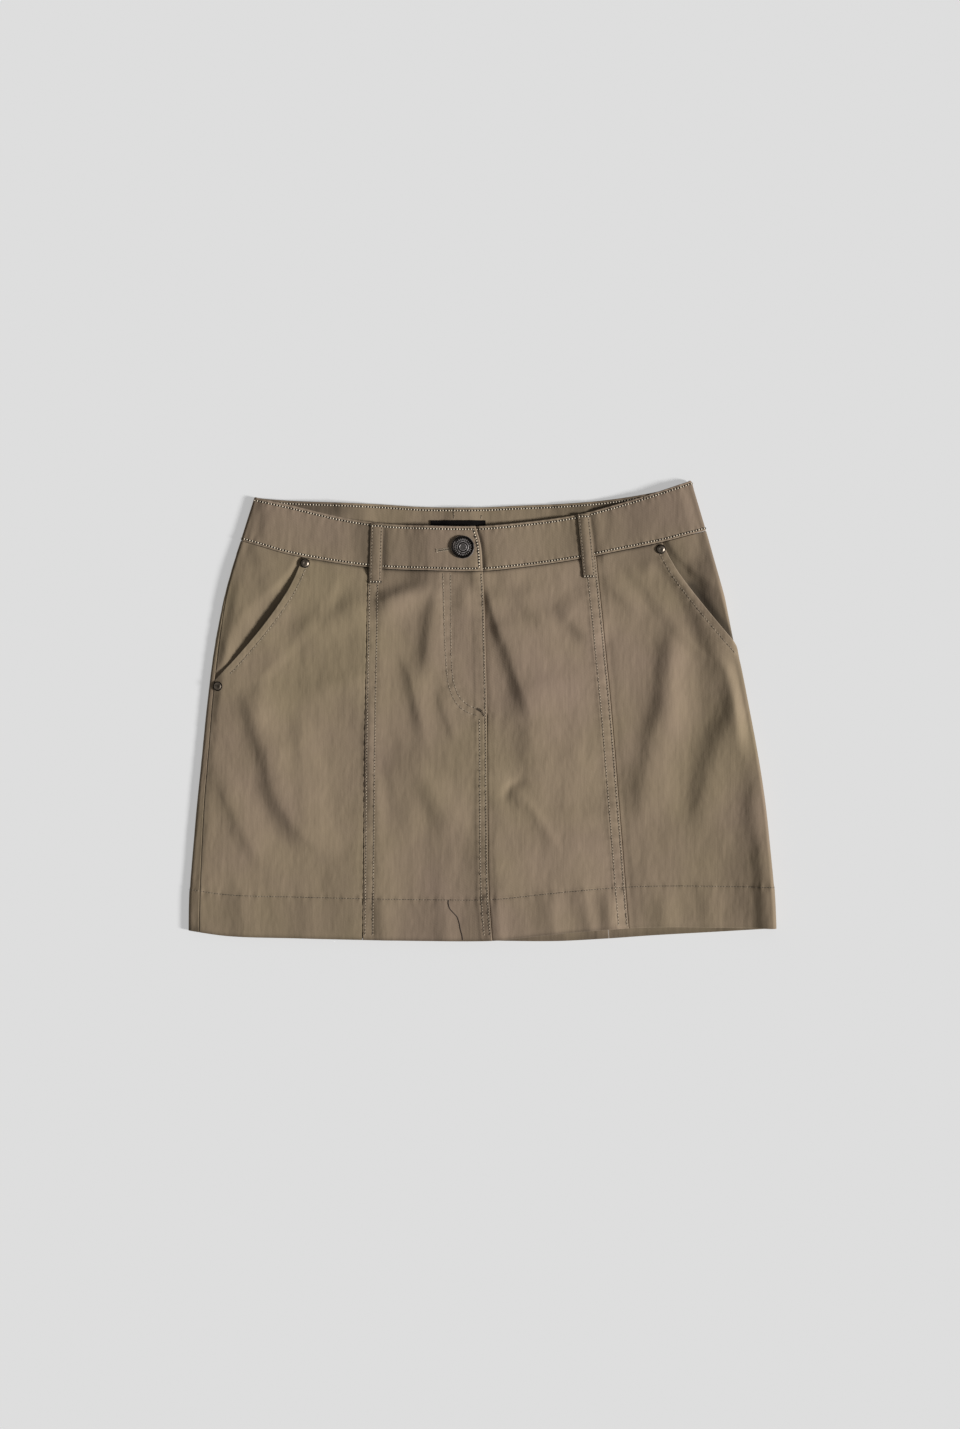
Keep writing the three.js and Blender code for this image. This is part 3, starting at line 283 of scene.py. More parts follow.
# Folds of the laid front, placed one by one. Each runs upwards from (x0, y0) to (x1, y1), bowed to
# its left by bow; rise is its height, and left and right are how far it falls off to each side.
FOLDS = (
    # Right of the fly.
    ("drag from the fly, top", 15, 60, 5, 97, 0, 2.0, 4, 30),
    ("drag from the fly, upper", 38, 4, 17, 66, 0, 3.6, 8, 56),
    ("drag from the fly, lower", 52, -60, 37, 14, 2, 2.7, 17, 60),
    ("pull across the right centre, upper", 58, 70, 30, 96, 2, 1.6, 8, 16),
    ("pull across the right centre, lower", 94, 58, 66, 84, 2, 2.4, 8, 16),
    # Left of the fly.
    ("flap's outer ridge", -45, 34, -35, 102, 2, 2.1, 7, 12),
    ("drag under the button", -14, 80, -16, 120, 0, 1.8, 9, 7),
    ("fall left of the flap", -48, -17, -60, 37, 0, 2.0, 6, 13),
    ("tick below the flap", -22, -22, -34, 12, 1, 0.9, 3.6, 9),
    ("belly below the flap", -16, -98, -58, -36, 3, 2.0, 12, 15),
    ("belly under the fly's end", 24, -52, -45, -34, 5, 1.7, 10, 12),
    ("low pull, centre left", -60, -98, -74, -38, 0, 1.5, 10, 16),
    ("faint low pull, centre left", -30, -104, -46, -58, 0, 0.7, 9, 14),
    ("rise to the centre seam", 15, -190, 9, -84, 0, 1.1, 14, 22),
    ("broad swell, low centre", 70, -190, 62, -98, 0, 2.2, 85, 30),
    # Left panel.
    ("seam drag", -87, -92, -91, 4, 2, 1.1, 6, 9),
    ("waist drag, right", -84, 85, -40, 106, 2, 4.2, 9, 12),
    ("waist drag, left", -150, 66, -96, 88, -3, 2.2, 11, 14),
    ("left fold, upper", -173, -44, -191, 9, 0, 3.0, 9, 24),
    ("left fold, lower", -135, -109, -174, -43, 8, 3.5, 10, 24),
    ("broad fall, left panel", -208, -150, -196, 90, 0, 0.7, 34, 58),
    ("low left fold", -182, -122, -214, -50, 3, 1.6, 7, 14),
    ("long soft fold", -144, -84, -150, 0, 0, 1.3, 7, 14),
    ("cross pull, left panel", -148, 14, -100, 26, 0, 1.0, 9, 12),
    ("rise to the left seam, upper", -86, -6, -86, 92, 0, 1.4, 38, 14),
    ("rise to the left seam, lower", -85, -190, -88, -70, 0, 1.4, 34, 14),
    # Right centre creases.
    ("small arc", 18, -71, 32, -57, 3, -1.0, 3.5, 4.5),
    ("crease from the arc", 60, -110, 27, -68, -3, 0.8, 6, 4.5),
    ("crease to the right seam", 104, -90, 31, -75, 2, 1.0, 5, 9),
    # Right panel.
    ("great right ridge, upper", 149, -8, 157, 62, 1, 3.2, 10, 13),
    ("great right ridge, lower", 131, -80, 147, 0, 2, 3.0, 11, 19),
    ("outer right ridge, lower", 181, -92, 207, 0, 5, 3.3, 13, 30),
    ("outer right ridge, upper", 212, -4, 197, 84, -2, 3.8, 13, 8),
    ("ridge inside the pocket's edge", 197, 34, 156, 120, -3, 1.8, 9, 6),
    ("near-seam swell", 128, 82, 102, 106, 0, 0.9, 6, 9),
    ("broad fall, right panel", 106, 6, 101, 108, 0, 0.6, 34, 44),
    ("pocket pucker, upper", 142, 116, 112, 132, 0, 1.2, 7, 6),
    ("pocket pucker, lower", 168, 98, 146, 124, 0, 0.9, 5, 4),
    ("margin ridge, upper", 240, -90, 223, 4, 0, 5.2, 26, 9),
    ("margin ridge, lower", 252, -190, 241, -80, 0, 7.2, 30, 8),
    # Flutes of the hem.
    ("hem flute, centre", 14, -192, 8, -150, 0, 1.2, 10, 8),
    ("hem flute, right of centre", 60, -190, 54, -150, 0, 1.2, 12, 8),
    ("hem flute before the seam", 90, -192, 82, -140, 0, 1.3, 8, 7),
    ("hem flute at the seam", 106, -192, 103, -152, 0, 2.6, 8, 8),
    ("hem flute, right", 152, -190, 146, -148, 0, 0.9, 8, 9),
    ("hem flute, far right", 190, -190, 184, -144, 0, 1.0, 9, 10),
    ("hem flute, left of centre", -30, -192, -34, -152, 0, 0.7, 8, 9),
    ("hem flute, low left", -80, -190, -84, -156, 0, 0.9, 6, 9),
    ("hem flute, left panel", -136, -190, -142, -150, 0, 0.7, 9, 12),
    ("hem flute, far left", -192, -190, -198, -146, 0, 0.8, 9, 12),
)
# The same for the waistband, and for the back, where they are dents in cloth that lies flat.
BAND_FOLDS = (
    ("crush by the left corner", -187, 138, -183, 164, 0, -1.1, 4, 5),
    ("swell under the left loop", -93, 124, -87, 160, 0, 0.9, 20, 8),
    ("dip right of the left loop", -82, 108, -80, 154, 0, -0.9, 3.5, 3),
    ("swell under the button", -7, 110, -5, 132, 0, 0.8, 16, 5),
    ("swell by the overlap", 10, 116, 12, 152, 0, 0.5, 5, 14),
    ("swell under the right loop", 77, 120, 81, 156, 0, 0.8, 14, 8),
    ("dip right of the right loop", 93, 124, 88, 160, 0, -0.9, 3.5, 3),
    ("crush right of the right loop", 104, 128, 108, 164, 0, 0.5, 6, 9),
    ("rise to the right end", 174, 136, 180, 190, 0, 1.4, 46, 8),
)
BACK_DENTS = (
    ("seat drag, left", -30, 96, -104, 40, 4, 0.8, 9, 14),
    ("seat drag, right", 20, 92, 96, 30, -4, 0.7, 14, 9),
    ("long crease, left side", -176, -150, -160, -20, 5, 0.6, 6, 12),
    ("long crease, right side", 160, -140, 150, 10, -4, 0.7, 12, 6),
    ("middle crease", -14, -120, -4, -10, 3, 0.5, 8, 12),
    ("cross crease", -70, -60, 30, -82, -5, 0.45, 7, 9),
    ("hem flute, back left", -66, -190, -60, -140, 0, 0.6, 7, 9),
    ("hem flute, back right", 66, -190, 62, -146, 0, 0.55, 8, 6),
    ("tuck by the right fold", 196, -90, 190, 0, 3, 0.5, 5, 9),
    ("tuck by the left fold", -206, 10, -196, 70, -3, 0.5, 8, 5),
)
FOLD_STRENGTH = 1.2
FOLD_FADE = 0.25  # share of a fold's length over which its ends die away


def fold_rise(folds, x, y):
    x, y = np.broadcast_arrays(x, y)
    rise = np.zeros(x.shape)
    for _, *numbers in folds:
        x0, y0, x1, y1, bow, tall, left, right = (number / 1000 for number in numbers)
        dx, dy = x1 - x0, y1 - y0
        length = math.hypot(dx, dy)
        t = ((x - x0) * dx + (y - y0) * dy) / length**2
        aside = ((y - y0) * dx - (x - x0) * dy) / length - bow * 4 * t * (1 - t)
        ends = ease(-FOLD_FADE, FOLD_FADE, t) * ease(1 + FOLD_FADE, 1 - FOLD_FADE, t)
        rise += FOLD_STRENGTH * tall * ends * bell(aside, np.where(aside > 0, left, right))
    return rise


def no_lower(height, least, soft=0.0006):
    """A height held above a least one, without a kink."""
    spare = height - least
    return least + (spare + np.sqrt(spare**2 + soft**2)) / 2


def facing_cover(x, y):
    """1 where a pocket facing lies under the front, 0 well away from it."""
    def cover(past, end):
        return ease(0.022, 0.008, past - FACING_WIDTH) * ease(end - 0.048, end - 0.030, y)
    left = cover(x - mouth_left(np.maximum(y, MOUTH_END_LEFT)), MOUTH_END_LEFT)
    right = cover(mouth_right(np.maximum(y, MOUTH_END_RIGHT)) - x, MOUTH_END_RIGHT)
    return np.maximum(left, right)


def at_sides(height, x, y):
    """Blends a height into the side folds, where the cloth stands up to twice the fold's radius."""
    below_waist = ease(0.140, 0.110, y)
    left_edge = 2 * level("left_roll", y) + mix(-0.0012, -0.0007, below_waist)
    low = ease(0.014, -0.050, y)
    by_pocket = ease(0.030, 0.060, y) * ease(0.134, 0.108, y)
    right_edge = 2 * level("right_roll", y) + mix(-0.0010, 0.0060, low) * below_waist + 0.0052 * by_pocket
    left = mix(height, left_edge, ease(0.009, 0, x - left_start(y)))
    return mix(left, right_edge, ease(0.011 + 0.004 * low + 0.023 * by_pocket, 0, right_start(y) - x))


def band_top(x, y):
    on_label = ease(-0.068, -0.045, x) * ease(0.052, 0.018, x)
    height = mix(BAND_HEIGHT, BAND_MIDDLE_HEIGHT, on_label) + fold_rise(BAND_FOLDS, x, y)
    return at_sides(height, x, y)


def band_over_top(x, y):
    on_underlap = ease(-UNDERLAP - 0.026, -UNDERLAP - 0.002, x)
    return band_top(x, y) + (BAND_WALL + AIR) * on_underlap


def under_band(x, y, band):
    """The front's upper edge, a little below the waistband's face, and more where the cloth drags."""
    return band(x, y) - SEAM_STEP - sum(deep * bell(x - at, wide) for at, wide, deep in WAIST_DRAGS)


def near_waist(x, y):
    seam = waist("front_seam", x)
    return ease(seam - 0.024, seam - 0.003, y)


def body_top(x, y, band):
    hem_top = hem_line("front", x) + HEM_DEPTH
    cover = facing_cover(x, y)
    flat = mix(FRONT_HEIGHT, HEM_HEIGHT, ease(hem_top + 0.016, hem_top + 0.001, y)) + 0.001 * cover
    flat = mix(flat, 0.0052, ease(hem_top - 0.014, hem_top - HEM_DEPTH, y))
    least = LOWEST_FRONT + LAYER * cover + underside_lift(x, y)
    folded = no_lower(flat + fold_rise(FOLDS, x, y), least)
    return at_sides(mix(folded, under_band(x, y, band), near_waist(x, y)), x, y)


def side_top(x, y):
    return body_top(x, y, band_top)


def back_lift(x, y):
    return underside_lift(x, y) + np.maximum(fold_rise(BACK_DENTS, x, y), 0)


def front_place(s, y):
    """Where a distance across the tube comes to on the front: x, and whether it is underneath."""
    start, roll = right_start(y), level("right_roll", y)
    left, left_roll = left_start(y), level("left_roll", y)
    angle = (s - start) / roll
    round_fold = start + roll * np.sin(np.clip(angle, 0, math.pi)) - np.maximum(angle - math.pi, 0) * roll
    round_left = left - left_roll * np.sin(np.clip((left - s) / left_roll, 0, math.pi / 2))
    x = np.where(s < left, round_left, np.where(angle <= 0, s, round_fold))
    return x, angle > math.pi / 2


def back_place(s, y):
    start, roll = left_start(y), level("left_roll", y)
    angle = (start - s) / roll
    round_fold = start - roll * np.sin(np.clip(angle, 0, math.pi)) + np.maximum(angle - math.pi, 0) * roll
    return np.where(angle <= 0, s, round_fold), angle < math.pi / 2


def on_left_fold(angle, y, depth, height_of):
    start = left_start(y)
    tall = height_of(start, y) / 2
    reach = level("left_roll", y) - depth
    return start - reach * np.sin(angle), tall - (tall - depth) * np.cos(angle)


def on_front(s, y, depth, height_of):
    """A point of a front layer at a place on the tube and a depth under the tube's face."""
    s, y, depth = np.broadcast_arrays(s, y, depth)
    start, roll = right_start(y), level("right_roll", y)
    angle = np.clip((s - start) / roll, 0, math.pi)
    x, _ = front_place(s, y)
    floor_there = back_lift(start, y)
    tall = (height_of(start, y) - floor_there) / 2
    round_x = start + (roll - depth) * np.sin(angle)
    round_z = floor_there + tall + (tall - depth) * np.cos(angle)
    left_x, left_z = on_left_fold(math.pi - (left_start(y) - s) / level("left_roll", y), y, depth, height_of)
    flat, under, left = s <= start, s - start >= math.pi * roll, s < left_start(y)
    xs = np.where(left, left_x, np.where(flat, s, np.where(under, x, round_x)))
    zs = np.where(left, left_z, np.where(flat, height_of(s, y) - depth,
                                         np.where(under, back_lift(x, y) + depth, round_z)))
    return np.stack([xs, y, zs], axis=-1)


def on_back(s, y, depth, height_of):
    """The same for a back layer: its depth is counted up from the face that is underneath."""
    s, y, depth = np.broadcast_arrays(s, y, depth)
    start, roll = left_start(y), level("left_roll", y)
    angle = (start - s) / roll
    x, _ = back_place(s, y)
    round_x, round_z = on_left_fold(np.clip(angle, 0, math.pi), y, depth, height_of)
    lift = back_lift(s, y)
    xs = np.where(angle <= 0, s, np.where(angle < math.pi, round_x, x))
    zs = np.where(angle <= 0, lift + depth, np.where(angle < math.pi, round_z, height_of(x, y) - depth))
    return np.stack([xs, y, zs], axis=-1)


def hem_at(x, under):
    return np.where(under, hem_line("back", x), hem_line("front", x))


def seam_at(x, under):
    seam = np.where(under, waist("back_seam", x), waist("front_seam", x))
    return seam - HALF_GAP


def stations(length, step, first, last):
    """Shares of a length, and distances past them, close together at both ends as first and last say."""
    first, last = np.array(first) / 1000, np.array(last) / 1000
    count = max(2, round((length - first[-1] - last[-1]) / step))
    k = np.linspace(0, 1, count + 1)[1:-1]
    shares = np.concatenate([np.zeros(len(first)), k, np.ones(len(last))])
    past = np.concatenate([first, first[-1] * (1 - k) - last[-1] * k, -last[::-1]])
    return shares, past


SEAM_ROWS = (0, 0.15, 0.4, 0.8, 1.3, 2, 3, 4.2, 5.8, 7.4, 8.6, 9.6, 10.6, 12)
PLAIN_ROWS = (0, 0.2, 0.6, 1.2, 2.2, 3.6)
HEM_ROWS = (0, 0.15, 0.4, 0.8, 1.4, 2.4, 4, 6, 9, 12, 15, 18, 21, 24, 27, 29.5, 31.5, 32.7, 33.4, 33.8,
            34.2, 34.8, 35.6, 36.8, 38.5)
HEM_STITCH_LINE = HEM_ROWS.index(33.8)
FOLD_ROWS = SEAM_ROWS[:-1] + (11.4, 12.2, 13, 13.8, 14.6, 15.4, 16.2, 17, 17.8, 18.6, 19.4, 20.2, 21, 22,
                              23.5)


def net(sides, ends, across, up, place_of):
    """Places over a panel between its two sides, which change with the level, and its two ends."""
    (u, du), (v, dv) = across, up
    u, du, v, dv = u[:, None], du[:, None], v[None, :], dv[None, :]
    y = mix(-0.18, 0.13, v) + 0 * u
    for turn in range(7):
        s = mix(sides[0](y), sides[1](y), u) + du
        x, under = place_of(s, y)
        y = mix(ends[0](x, under), ends[1](x, under), v) + dv
    return s, y


def new_piece(name, points, faces, finishes, smooth=True):
    """A piece made from its points and faces, in its materials, which rides with the skirt."""
    mesh = bpy.data.meshes.new(name)
    mesh.from_pydata(points.tolist(), [], faces)
    mesh.polygons.foreach_set("use_smooth", np.full(len(faces), smooth))
    for finish in finishes:
        mesh.materials.append(finish)
    piece = bpy.data.objects.new(name, mesh)
    bpy.context.collection.objects.link(piece)
    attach(piece, "root")
    return piece


def shell(name, s, y, outer, inner, wear_and_painted_shade, finish):
    """A closed piece of cloth from its two faces over a net, with the net's places as its UV map."""
    count = s.size
    index = np.arange(count).reshape(s.shape)
    a, b, c, d = index[:-1, :-1], index[1:, :-1], index[1:, 1:], index[:-1, 1:]
    over = np.stack([a, b, c, d], axis=-1).reshape(-1, 4)
    below = np.stack([a, d, c, b], axis=-1).reshape(-1, 4) + count
    ring = np.concatenate([index[:, 0], index[-1, 1:], index[-2::-1, -1], index[0, -2:0:-1]])
    after = np.roll(ring, -1)
    rim = np.stack([after, ring, ring + count, after + count], axis=-1)
    faces = np.concatenate([over, below, rim])
    points = np.concatenate([outer.reshape(-1, 3), inner.reshape(-1, 3)])
    p, q, r, t = (points[faces[:, corner]] for corner in range(4))
    if np.sum(p * np.cross(q, r)) + np.sum(p * np.cross(r, t)) < 0:
        faces = faces[:, ::-1]
    piece = new_piece(name + "_cloth", points, faces.tolist(), [finish])
    places = np.tile(np.stack([s, y], axis=-1).reshape(-1, 2), (2, 1))
    piece.data.uv_layers.new(name="cloth").data.foreach_set("uv", places[faces.ravel()].ravel())
    # The attribute holds real wear above 0 and painted shade below 0.
    worn = piece.data.attributes.new("wear_and_painted_shade", "FLOAT", "POINT")
    worn.data.foreach_set("value", np.tile(np.clip(wear_and_painted_shade, -1, 1).ravel(), 2).astype(np.float32))
    return piece


def soft_sheet(piece):
    """A finished cloth piece takes its CAD solid's place, which is hidden."""
    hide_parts(piece.name.removesuffix("_cloth"))


def near(path, s, y):
    """Distance from a path on the cloth, and how far along it."""
    away, far, walked = np.full(s.shape, 1.0), np.zeros(s.shape), 0.0
    for (s0, y0), (s1, y1) in zip(path[:-1], path[1:]):
        length = math.hypot(s1 - s0, y1 - y0)
        t = np.clip(((s - s0) * (s1 - s0) + (y - y0) * (y1 - y0)) / length**2, 0, 1)
        gap = np.hypot(s - mix(s0, s1, t), y - mix(y0, y1, t))
        closer = gap < away
        away, far = np.where(closer, gap, away), np.where(closer, walked + t * length, far)
        walked += length
    return away, far


def unit(vectors):
    return vectors / np.linalg.norm(vectors, axis=-1, keepdims=True)


def beside(path, by):
    """A path moved to its own left by a distance."""
    way = unit(np.gradient(path, axis=0))
    return path + by * np.stack([-way[:, 1], way[:, 0]], axis=1)


def up_line(line, by, low, high, count=70):
    """A path beside a seam that runs up the tube."""
    y = np.linspace(low, high, count)
    return np.stack([line(y) + by, y], axis=1)


def rounding(away, radius):
    """How far a rounded edge has dropped at a distance from it."""
    inside = np.clip(1 - away / radius, 0, 1)
    return radius * (1 - np.sqrt(1 - inside**2))


EDGE_ROLL = 0.00045
STITCH_DIP = 0.00022
PUCKER = 0.00016


def relief(s, y, place_of, sides, rows):
    """How far a panel's face stands off its plain form. sides: for each long side its line, how
    much the allowances under it raise the cloth, and how far; rows: its rows of stitches."""
    x, under = place_of(s, y)
    proud = -rounding(y - hem_at(x, under), EDGE_ROLL) - rounding(seam_at(x, under) - y, EDGE_ROLL)
    hem_edge = y - hem_at(x, under) - HEM_DEPTH
    proud = proud + 0.00030 * ease(0.0022, 0.0006, hem_edge)
    for line, raised, reach in sides:
        away = np.abs(s - line(y))
        pull = np.sin(y / 0.00112) + 0.7 * np.sin(y / 0.00071 + 1.7) + 0.8 * np.sin(y / 0.0023 + 0.6)
        proud += raised * ease(reach + 0.0022, reach, away) - rounding(away, EDGE_ROLL)
        proud += 0.5 * PUCKER * pull * bell(away, 0.005)
    return proud + sewn_relief(s, y, rows)


def sewn_relief(s, y, rows):
    """Each row of stitches pulls the cloth down and puckers it beside the row."""
    proud = np.zeros(s.shape)
    for row, path in enumerate(rows):
        away, far = near(path, s, y)
        wave = np.sin(far / 0.00103 + row) + 0.6 * np.sin(far / 0.00067 + 1.3)
        wave = wave + 0.7 * np.sin(far / 0.00190 + 2 * row)
        proud -= STITCH_DIP * bell(away, 0.0008)
        proud += PUCKER * wave * bell(away, 0.0036)
    return proud


def kept_flat(proud, under):
    """What a face stands off, with nothing raised where it lies on the floor."""
    return np.where(under, np.minimum(proud, 0), proud)


def hem_wall(x, under, y):
    """How thick a panel is: thicker where its hem is turned up."""
    return np.where(y - hem_at(x, under) < HEM_DEPTH + 0.001, HEM_WALL, CLOTH)


def hem_stitches(s, y):
    """The hem's row of stitches, along one line of a panel's net."""
    return np.stack([s[:, HEM_STITCH_LINE], y[:, HEM_STITCH_LINE]], axis=1)[2:-2]


SEWN = []  # every row of stitches: its thread, its path, the face it is sewn on, and which way is out


def sew(thread, paths, face, out):
    SEWN.extend((thread, path, face, out) for path in paths)


def node_in(tree, kind, sockets, **settings):
    """A node with its settings, its sockets given values or joined to others' outputs."""
    made = tree.nodes.new(kind)
    for name, value in settings.items():
        setattr(made, name, value)
    for name, value in sockets.items():
        if isinstance(value, bpy.types.NodeSocket):
            tree.links.new(value, made.inputs[name])
        else:
            made.inputs[name].default_value = value
    return made


def new_paint(name):
    """A material, its tree of nodes and its shader."""
    paint = bpy.data.materials.new(name)
    paint.use_nodes = True
    return paint, paint.node_tree, paint.node_tree.nodes["Principled BSDF"]


def noise_in(tree, place, scale, detail=2.0, rough=0.5):
    return node_in(tree, "ShaderNodeTexNoise", {
        "Vector": place, "Scale": scale, "Detail": detail, "Roughness": rough}).outputs["Fac"]


def range_in(tree, value, low, high, to_low=0.0, to_high=1.0):
    made = node_in(tree, "ShaderNodeMapRange", {
        "Value": value, "From Min": low, "From Max": high, "To Min": to_low, "To Max": to_high})
    return made.outputs["Result"]


def blend_in(tree, share, first, second, **settings):
    made = node_in(tree, "ShaderNodeMix", {0: share, 6: first, 7: second}, data_type="RGBA", **settings)
    return made.outputs[2]


def finish_paint(tree, colour, height, depth, values):
    """Joins a colour and a bump to the shader, and sets its plain values."""
    shader = tree.nodes["Principled BSDF"]
    bump = node_in(tree, "ShaderNodeBump", {"Height": height, "Distance": depth, "Strength": 1.0})
    tree.links.new(colour, shader.inputs["Base Color"])
    tree.links.new(bump.outputs["Normal"], shader.inputs["Normal"])
    for name, value in values.items():
        shader.inputs[name].default_value = value


OLIVE, ROSE, RUBBED = (0.238, 0.184, 0.114, 1), (0.243, 0.178, 0.129, 1), (0.40, 0.325, 0.245, 1)
SHEEN = {"Sheen Weight": 0.10, "Sheen Roughness": 0.5, "Sheen Tint": (0.95, 0.88, 0.78, 1)}


def twill(name, tone=1.0, olive=0.5, slub=0.16):
    """Cotton twill: a fine diagonal rib, slubby warp threads, patchy dye, and its wear: paler where it
    is rubbed (above 0), and darkened in grooves and hollows as painted shade (below 0)."""
    paint, tree, _ = new_paint(name)
    place = node_in(tree, "ShaderNodeUVMap", {}, uv_map="cloth").outputs["UV"]

    def stretched(x, y, turn=0.0):
        return node_in(tree, "ShaderNodeMapping", {
            "Vector": place, "Scale": (x, y, 1), "Rotation": (0, 0, turn)}).outputs["Vector"]

    def sum_of(start, *parts):
        total = start
        for amount, part in parts:
            total = node_in(tree, "ShaderNodeMath", {0: part, 1: amount, 2: total},
                            operation="MULTIPLY_ADD").outputs[0]
        return total

    patches = range_in(tree, noise_in(tree, place, 7.5, 3, 0.55), 0.34, 0.66, olive - 0.45, olive + 0.45)
    blotch = noise_in(tree, stretched(52, 20), 1, 5, 0.65)
    warp = noise_in(tree, stretched(420, 14), 1, 3, 0.6)
    warp_fine = noise_in(tree, stretched(1500, 60), 1)
    weft = noise_in(tree, stretched(40, 1100), 1)
    rib = node_in(tree, "ShaderNodeTexWave", {
        "Vector": stretched(1, 1, math.radians(27)), "Scale": 330.0, "Distortion": 1.6,
        "Detail": 2.0, "Detail Scale": 3.0}, bands_direction="X").outputs["Fac"]
    fibre = noise_in(tree, place, 2400, 2, 0.6)
    threads = ((0.34, blotch), (slub, warp), (0.05, warp_fine), (0.04, weft), (0.05, rib), (0.06, fibre))
    value = sum_of(tone * (1 - (0.34 + slub + 0.05 + 0.04 + 0.05 + 0.06) / 2), *threads)
    wear_and_painted_shade = node_in(tree, "ShaderNodeAttribute", {}, attribute_name="wear_and_painted_shade").outputs["Fac"]
    shaded = blend_in(tree, patches, ROSE, OLIVE)
    # The second factor is painted shade: the attribute below 0 darkens the colour, down to 0.3 of it.
    for shade in (value, range_in(tree, wear_and_painted_shade, -1.0, 0.0, 0.30, 1.0)):
        shaded = blend_in(tree, 1.0, shaded, shade, blend_type="MULTIPLY")
    rubbed = node_in(tree, "ShaderNodeMath", {
        0: wear_and_painted_shade, 1: sum_of(0.10, (0.42, noise_in(tree, place, 260, 3, 0.7)))},
        operation="MULTIPLY", use_clamp=True).outputs[0]
    height = sum_of(0.0, (1.9, noise_in(tree, stretched(36, 17), 1, 3)),
                    (0.35, noise_in(tree, stretched(130, 46), 1, 3, 0.55)),
                    (0.08, warp), (0.03, rib), (0.03, fibre))
    finish_paint(tree, blend_in(tree, rubbed, shaded, RUBBED), height, 0.001,
                 {"Roughness": 0.93, "Specular IOR Level": 0.25, **SHEEN})
    return paint


# Its tone is turned down as painted shade, for the strip of the back that shows below the front's hem.
back_twill = twill("twill_back", tone=0.87, olive=0.60)


def left_seam_of(column):
    return lambda y: level(column, y) - HALF_GAP


def right_seam_of(column):
    return lambda y: level(column, y) + HALF_GAP


def back_panel(name, sides, seams, across, stitches):
    """A back panel between two sides. seams: what relief says of each; stitches: its seams' rows."""
    s, y = net(sides, (hem_at, seam_at), across, stations(0.31, 0.0034, HEM_ROWS, PLAIN_ROWS), back_place)
    x, under = back_place(s, y)
    hem_row = hem_stitches(s, y)

    def stands(a, b):
        return relief(a, b, back_place, seams, [*stitches, hem_row])

    def face(a, b):
        return on_back(a, b, -kept_flat(stands(a, b), back_place(a, b)[1]), side_top)

    # The floor is flat: what the seams raise pushes the cloth's inside up, not its underside down.
    proud = stands(s, y)
    inner = on_back(s, y, hem_wall(x, under, y) + np.where(under, np.abs(proud), -proud), side_top)
    # The cloth is darkened near the hem as painted shade.
    piece = shell(name, s, y, face(s, y), inner, -0.45 * bell(y - hem_at(x, under), 0.0050), back_twill)
    soft_sheet(piece)
    sew("seam", stitches, face, -1)
    sew("hem", [hem_row], face, -1)


CENTRE_LEFT, CENTRE_RIGHT = right_seam_of("back_left"), left_seam_of("back_right")
SIDE_LEFT, SIDE_RIGHT = left_seam_of("back_left"), right_seam_of("back_right")
BACK_STITCHES = (0.0015, 0.0082)
back_panel("back_side_left", (back_left_end, SIDE_LEFT),
           [(back_left_end, 0.0, 0.01), (SIDE_LEFT, -0.0002, 0.006)],
           stations(0.125, 0.0034, FOLD_ROWS, PLAIN_ROWS), [])
back_panel("back_centre", (CENTRE_LEFT, CENTRE_RIGHT),
           [(line, 0.0004, 0.0092) for line in (CENTRE_LEFT, CENTRE_RIGHT)],
           stations(0.2, 0.0034, SEAM_ROWS, SEAM_ROWS),
           [up_line(line, side * by, -0.178, 0.128) for line, side in ((CENTRE_LEFT, 1), (CENTRE_RIGHT, -1))
            for by in BACK_STITCHES])
back_panel("back_side_right", (SIDE_RIGHT, back_right_end),
           [(SIDE_RIGHT, -0.0002, 0.006), (back_right_end, 0.0, 0.01)],
           stations(0.12, 0.0034, PLAIN_ROWS, SEAM_ROWS), [])

# Back waistband: an outer strip, which goes round the left fold to the side seam, and a facing sewn
# behind it, whose inner side shows above the front. Both are twill, topstitched along the top.
BAND_ENDS = (lambda x, under: seam_at(x, under) + SEAM_GAP,
             lambda x, under: np.where(under, waist("back_top", x), waist("front_top", x)))
BAND_ROWS = (0, 0.15, 0.4, 0.8, 1.4, 2.0, 2.6, 3.4, 4.6)
BAND_ROLL = 0.0007  # radius of its edges
BAND_STITCHES = (0.0021, -0.0026)  # where its rows run, from the lower and from the upper edge
band_twill = twill("twill_waistband", tone=1.0, olive=0.42, slub=0.14)
inside_twill = twill("twill_inside", tone=0.93, olive=0.62, slub=0.12)


def band_row(edge, start, end, place_of):
    """A row of stitches along a waistband, beside its lower (0) or upper (1) edge."""
    s = np.linspace(start, end, 120)
    y = 0.15 + 0 * s
    for turn in range(6):
        y = BAND_ENDS[edge](*place_of(s, y)) + BAND_STITCHES[edge]
    return np.stack([s, y], axis=1)


def band_relief(s, y, place_of, ends, rows):
    x, under = place_of(s, y)
    proud = -rounding(y - BAND_ENDS[0](x, under), BAND_ROLL) - rounding(BAND_ENDS[1](x, under) - y, BAND_ROLL)
    for line in ends:
        proud = proud - rounding(np.abs(s - line(y)), BAND_ROLL)
    return proud + sewn_relief(s, y, rows)


band_sides = (back_left_end, back_right_end)
band_rows = [band_row(1, -0.182, 0.168, back_place), band_row(0, -0.188, 0.172, back_place)]
s, y = net(band_sides, BAND_ENDS, stations(0.37, 0.0030, FOLD_ROWS, SEAM_ROWS),
           stations(0.037, 0.0030, BAND_ROWS, BAND_ROWS), back_place)
x, under = back_place(s, y)
proud = kept_flat(band_relief(s, y, back_place, band_sides, band_rows), under)
piece = shell("waistband_back", s, y, on_back(s, y, -proud, band_top), on_back(s, y, CLOTH, band_top),
              0.55 * bell(BAND_ENDS[1](x, under) - y, 0.0016), band_twill)
soft_sheet(piece)
sew("waist", band_rows, lambda a, b: on_back(
    a, b, -np.minimum(band_relief(a, b, back_place, (), band_rows), 0), band_top), -1)

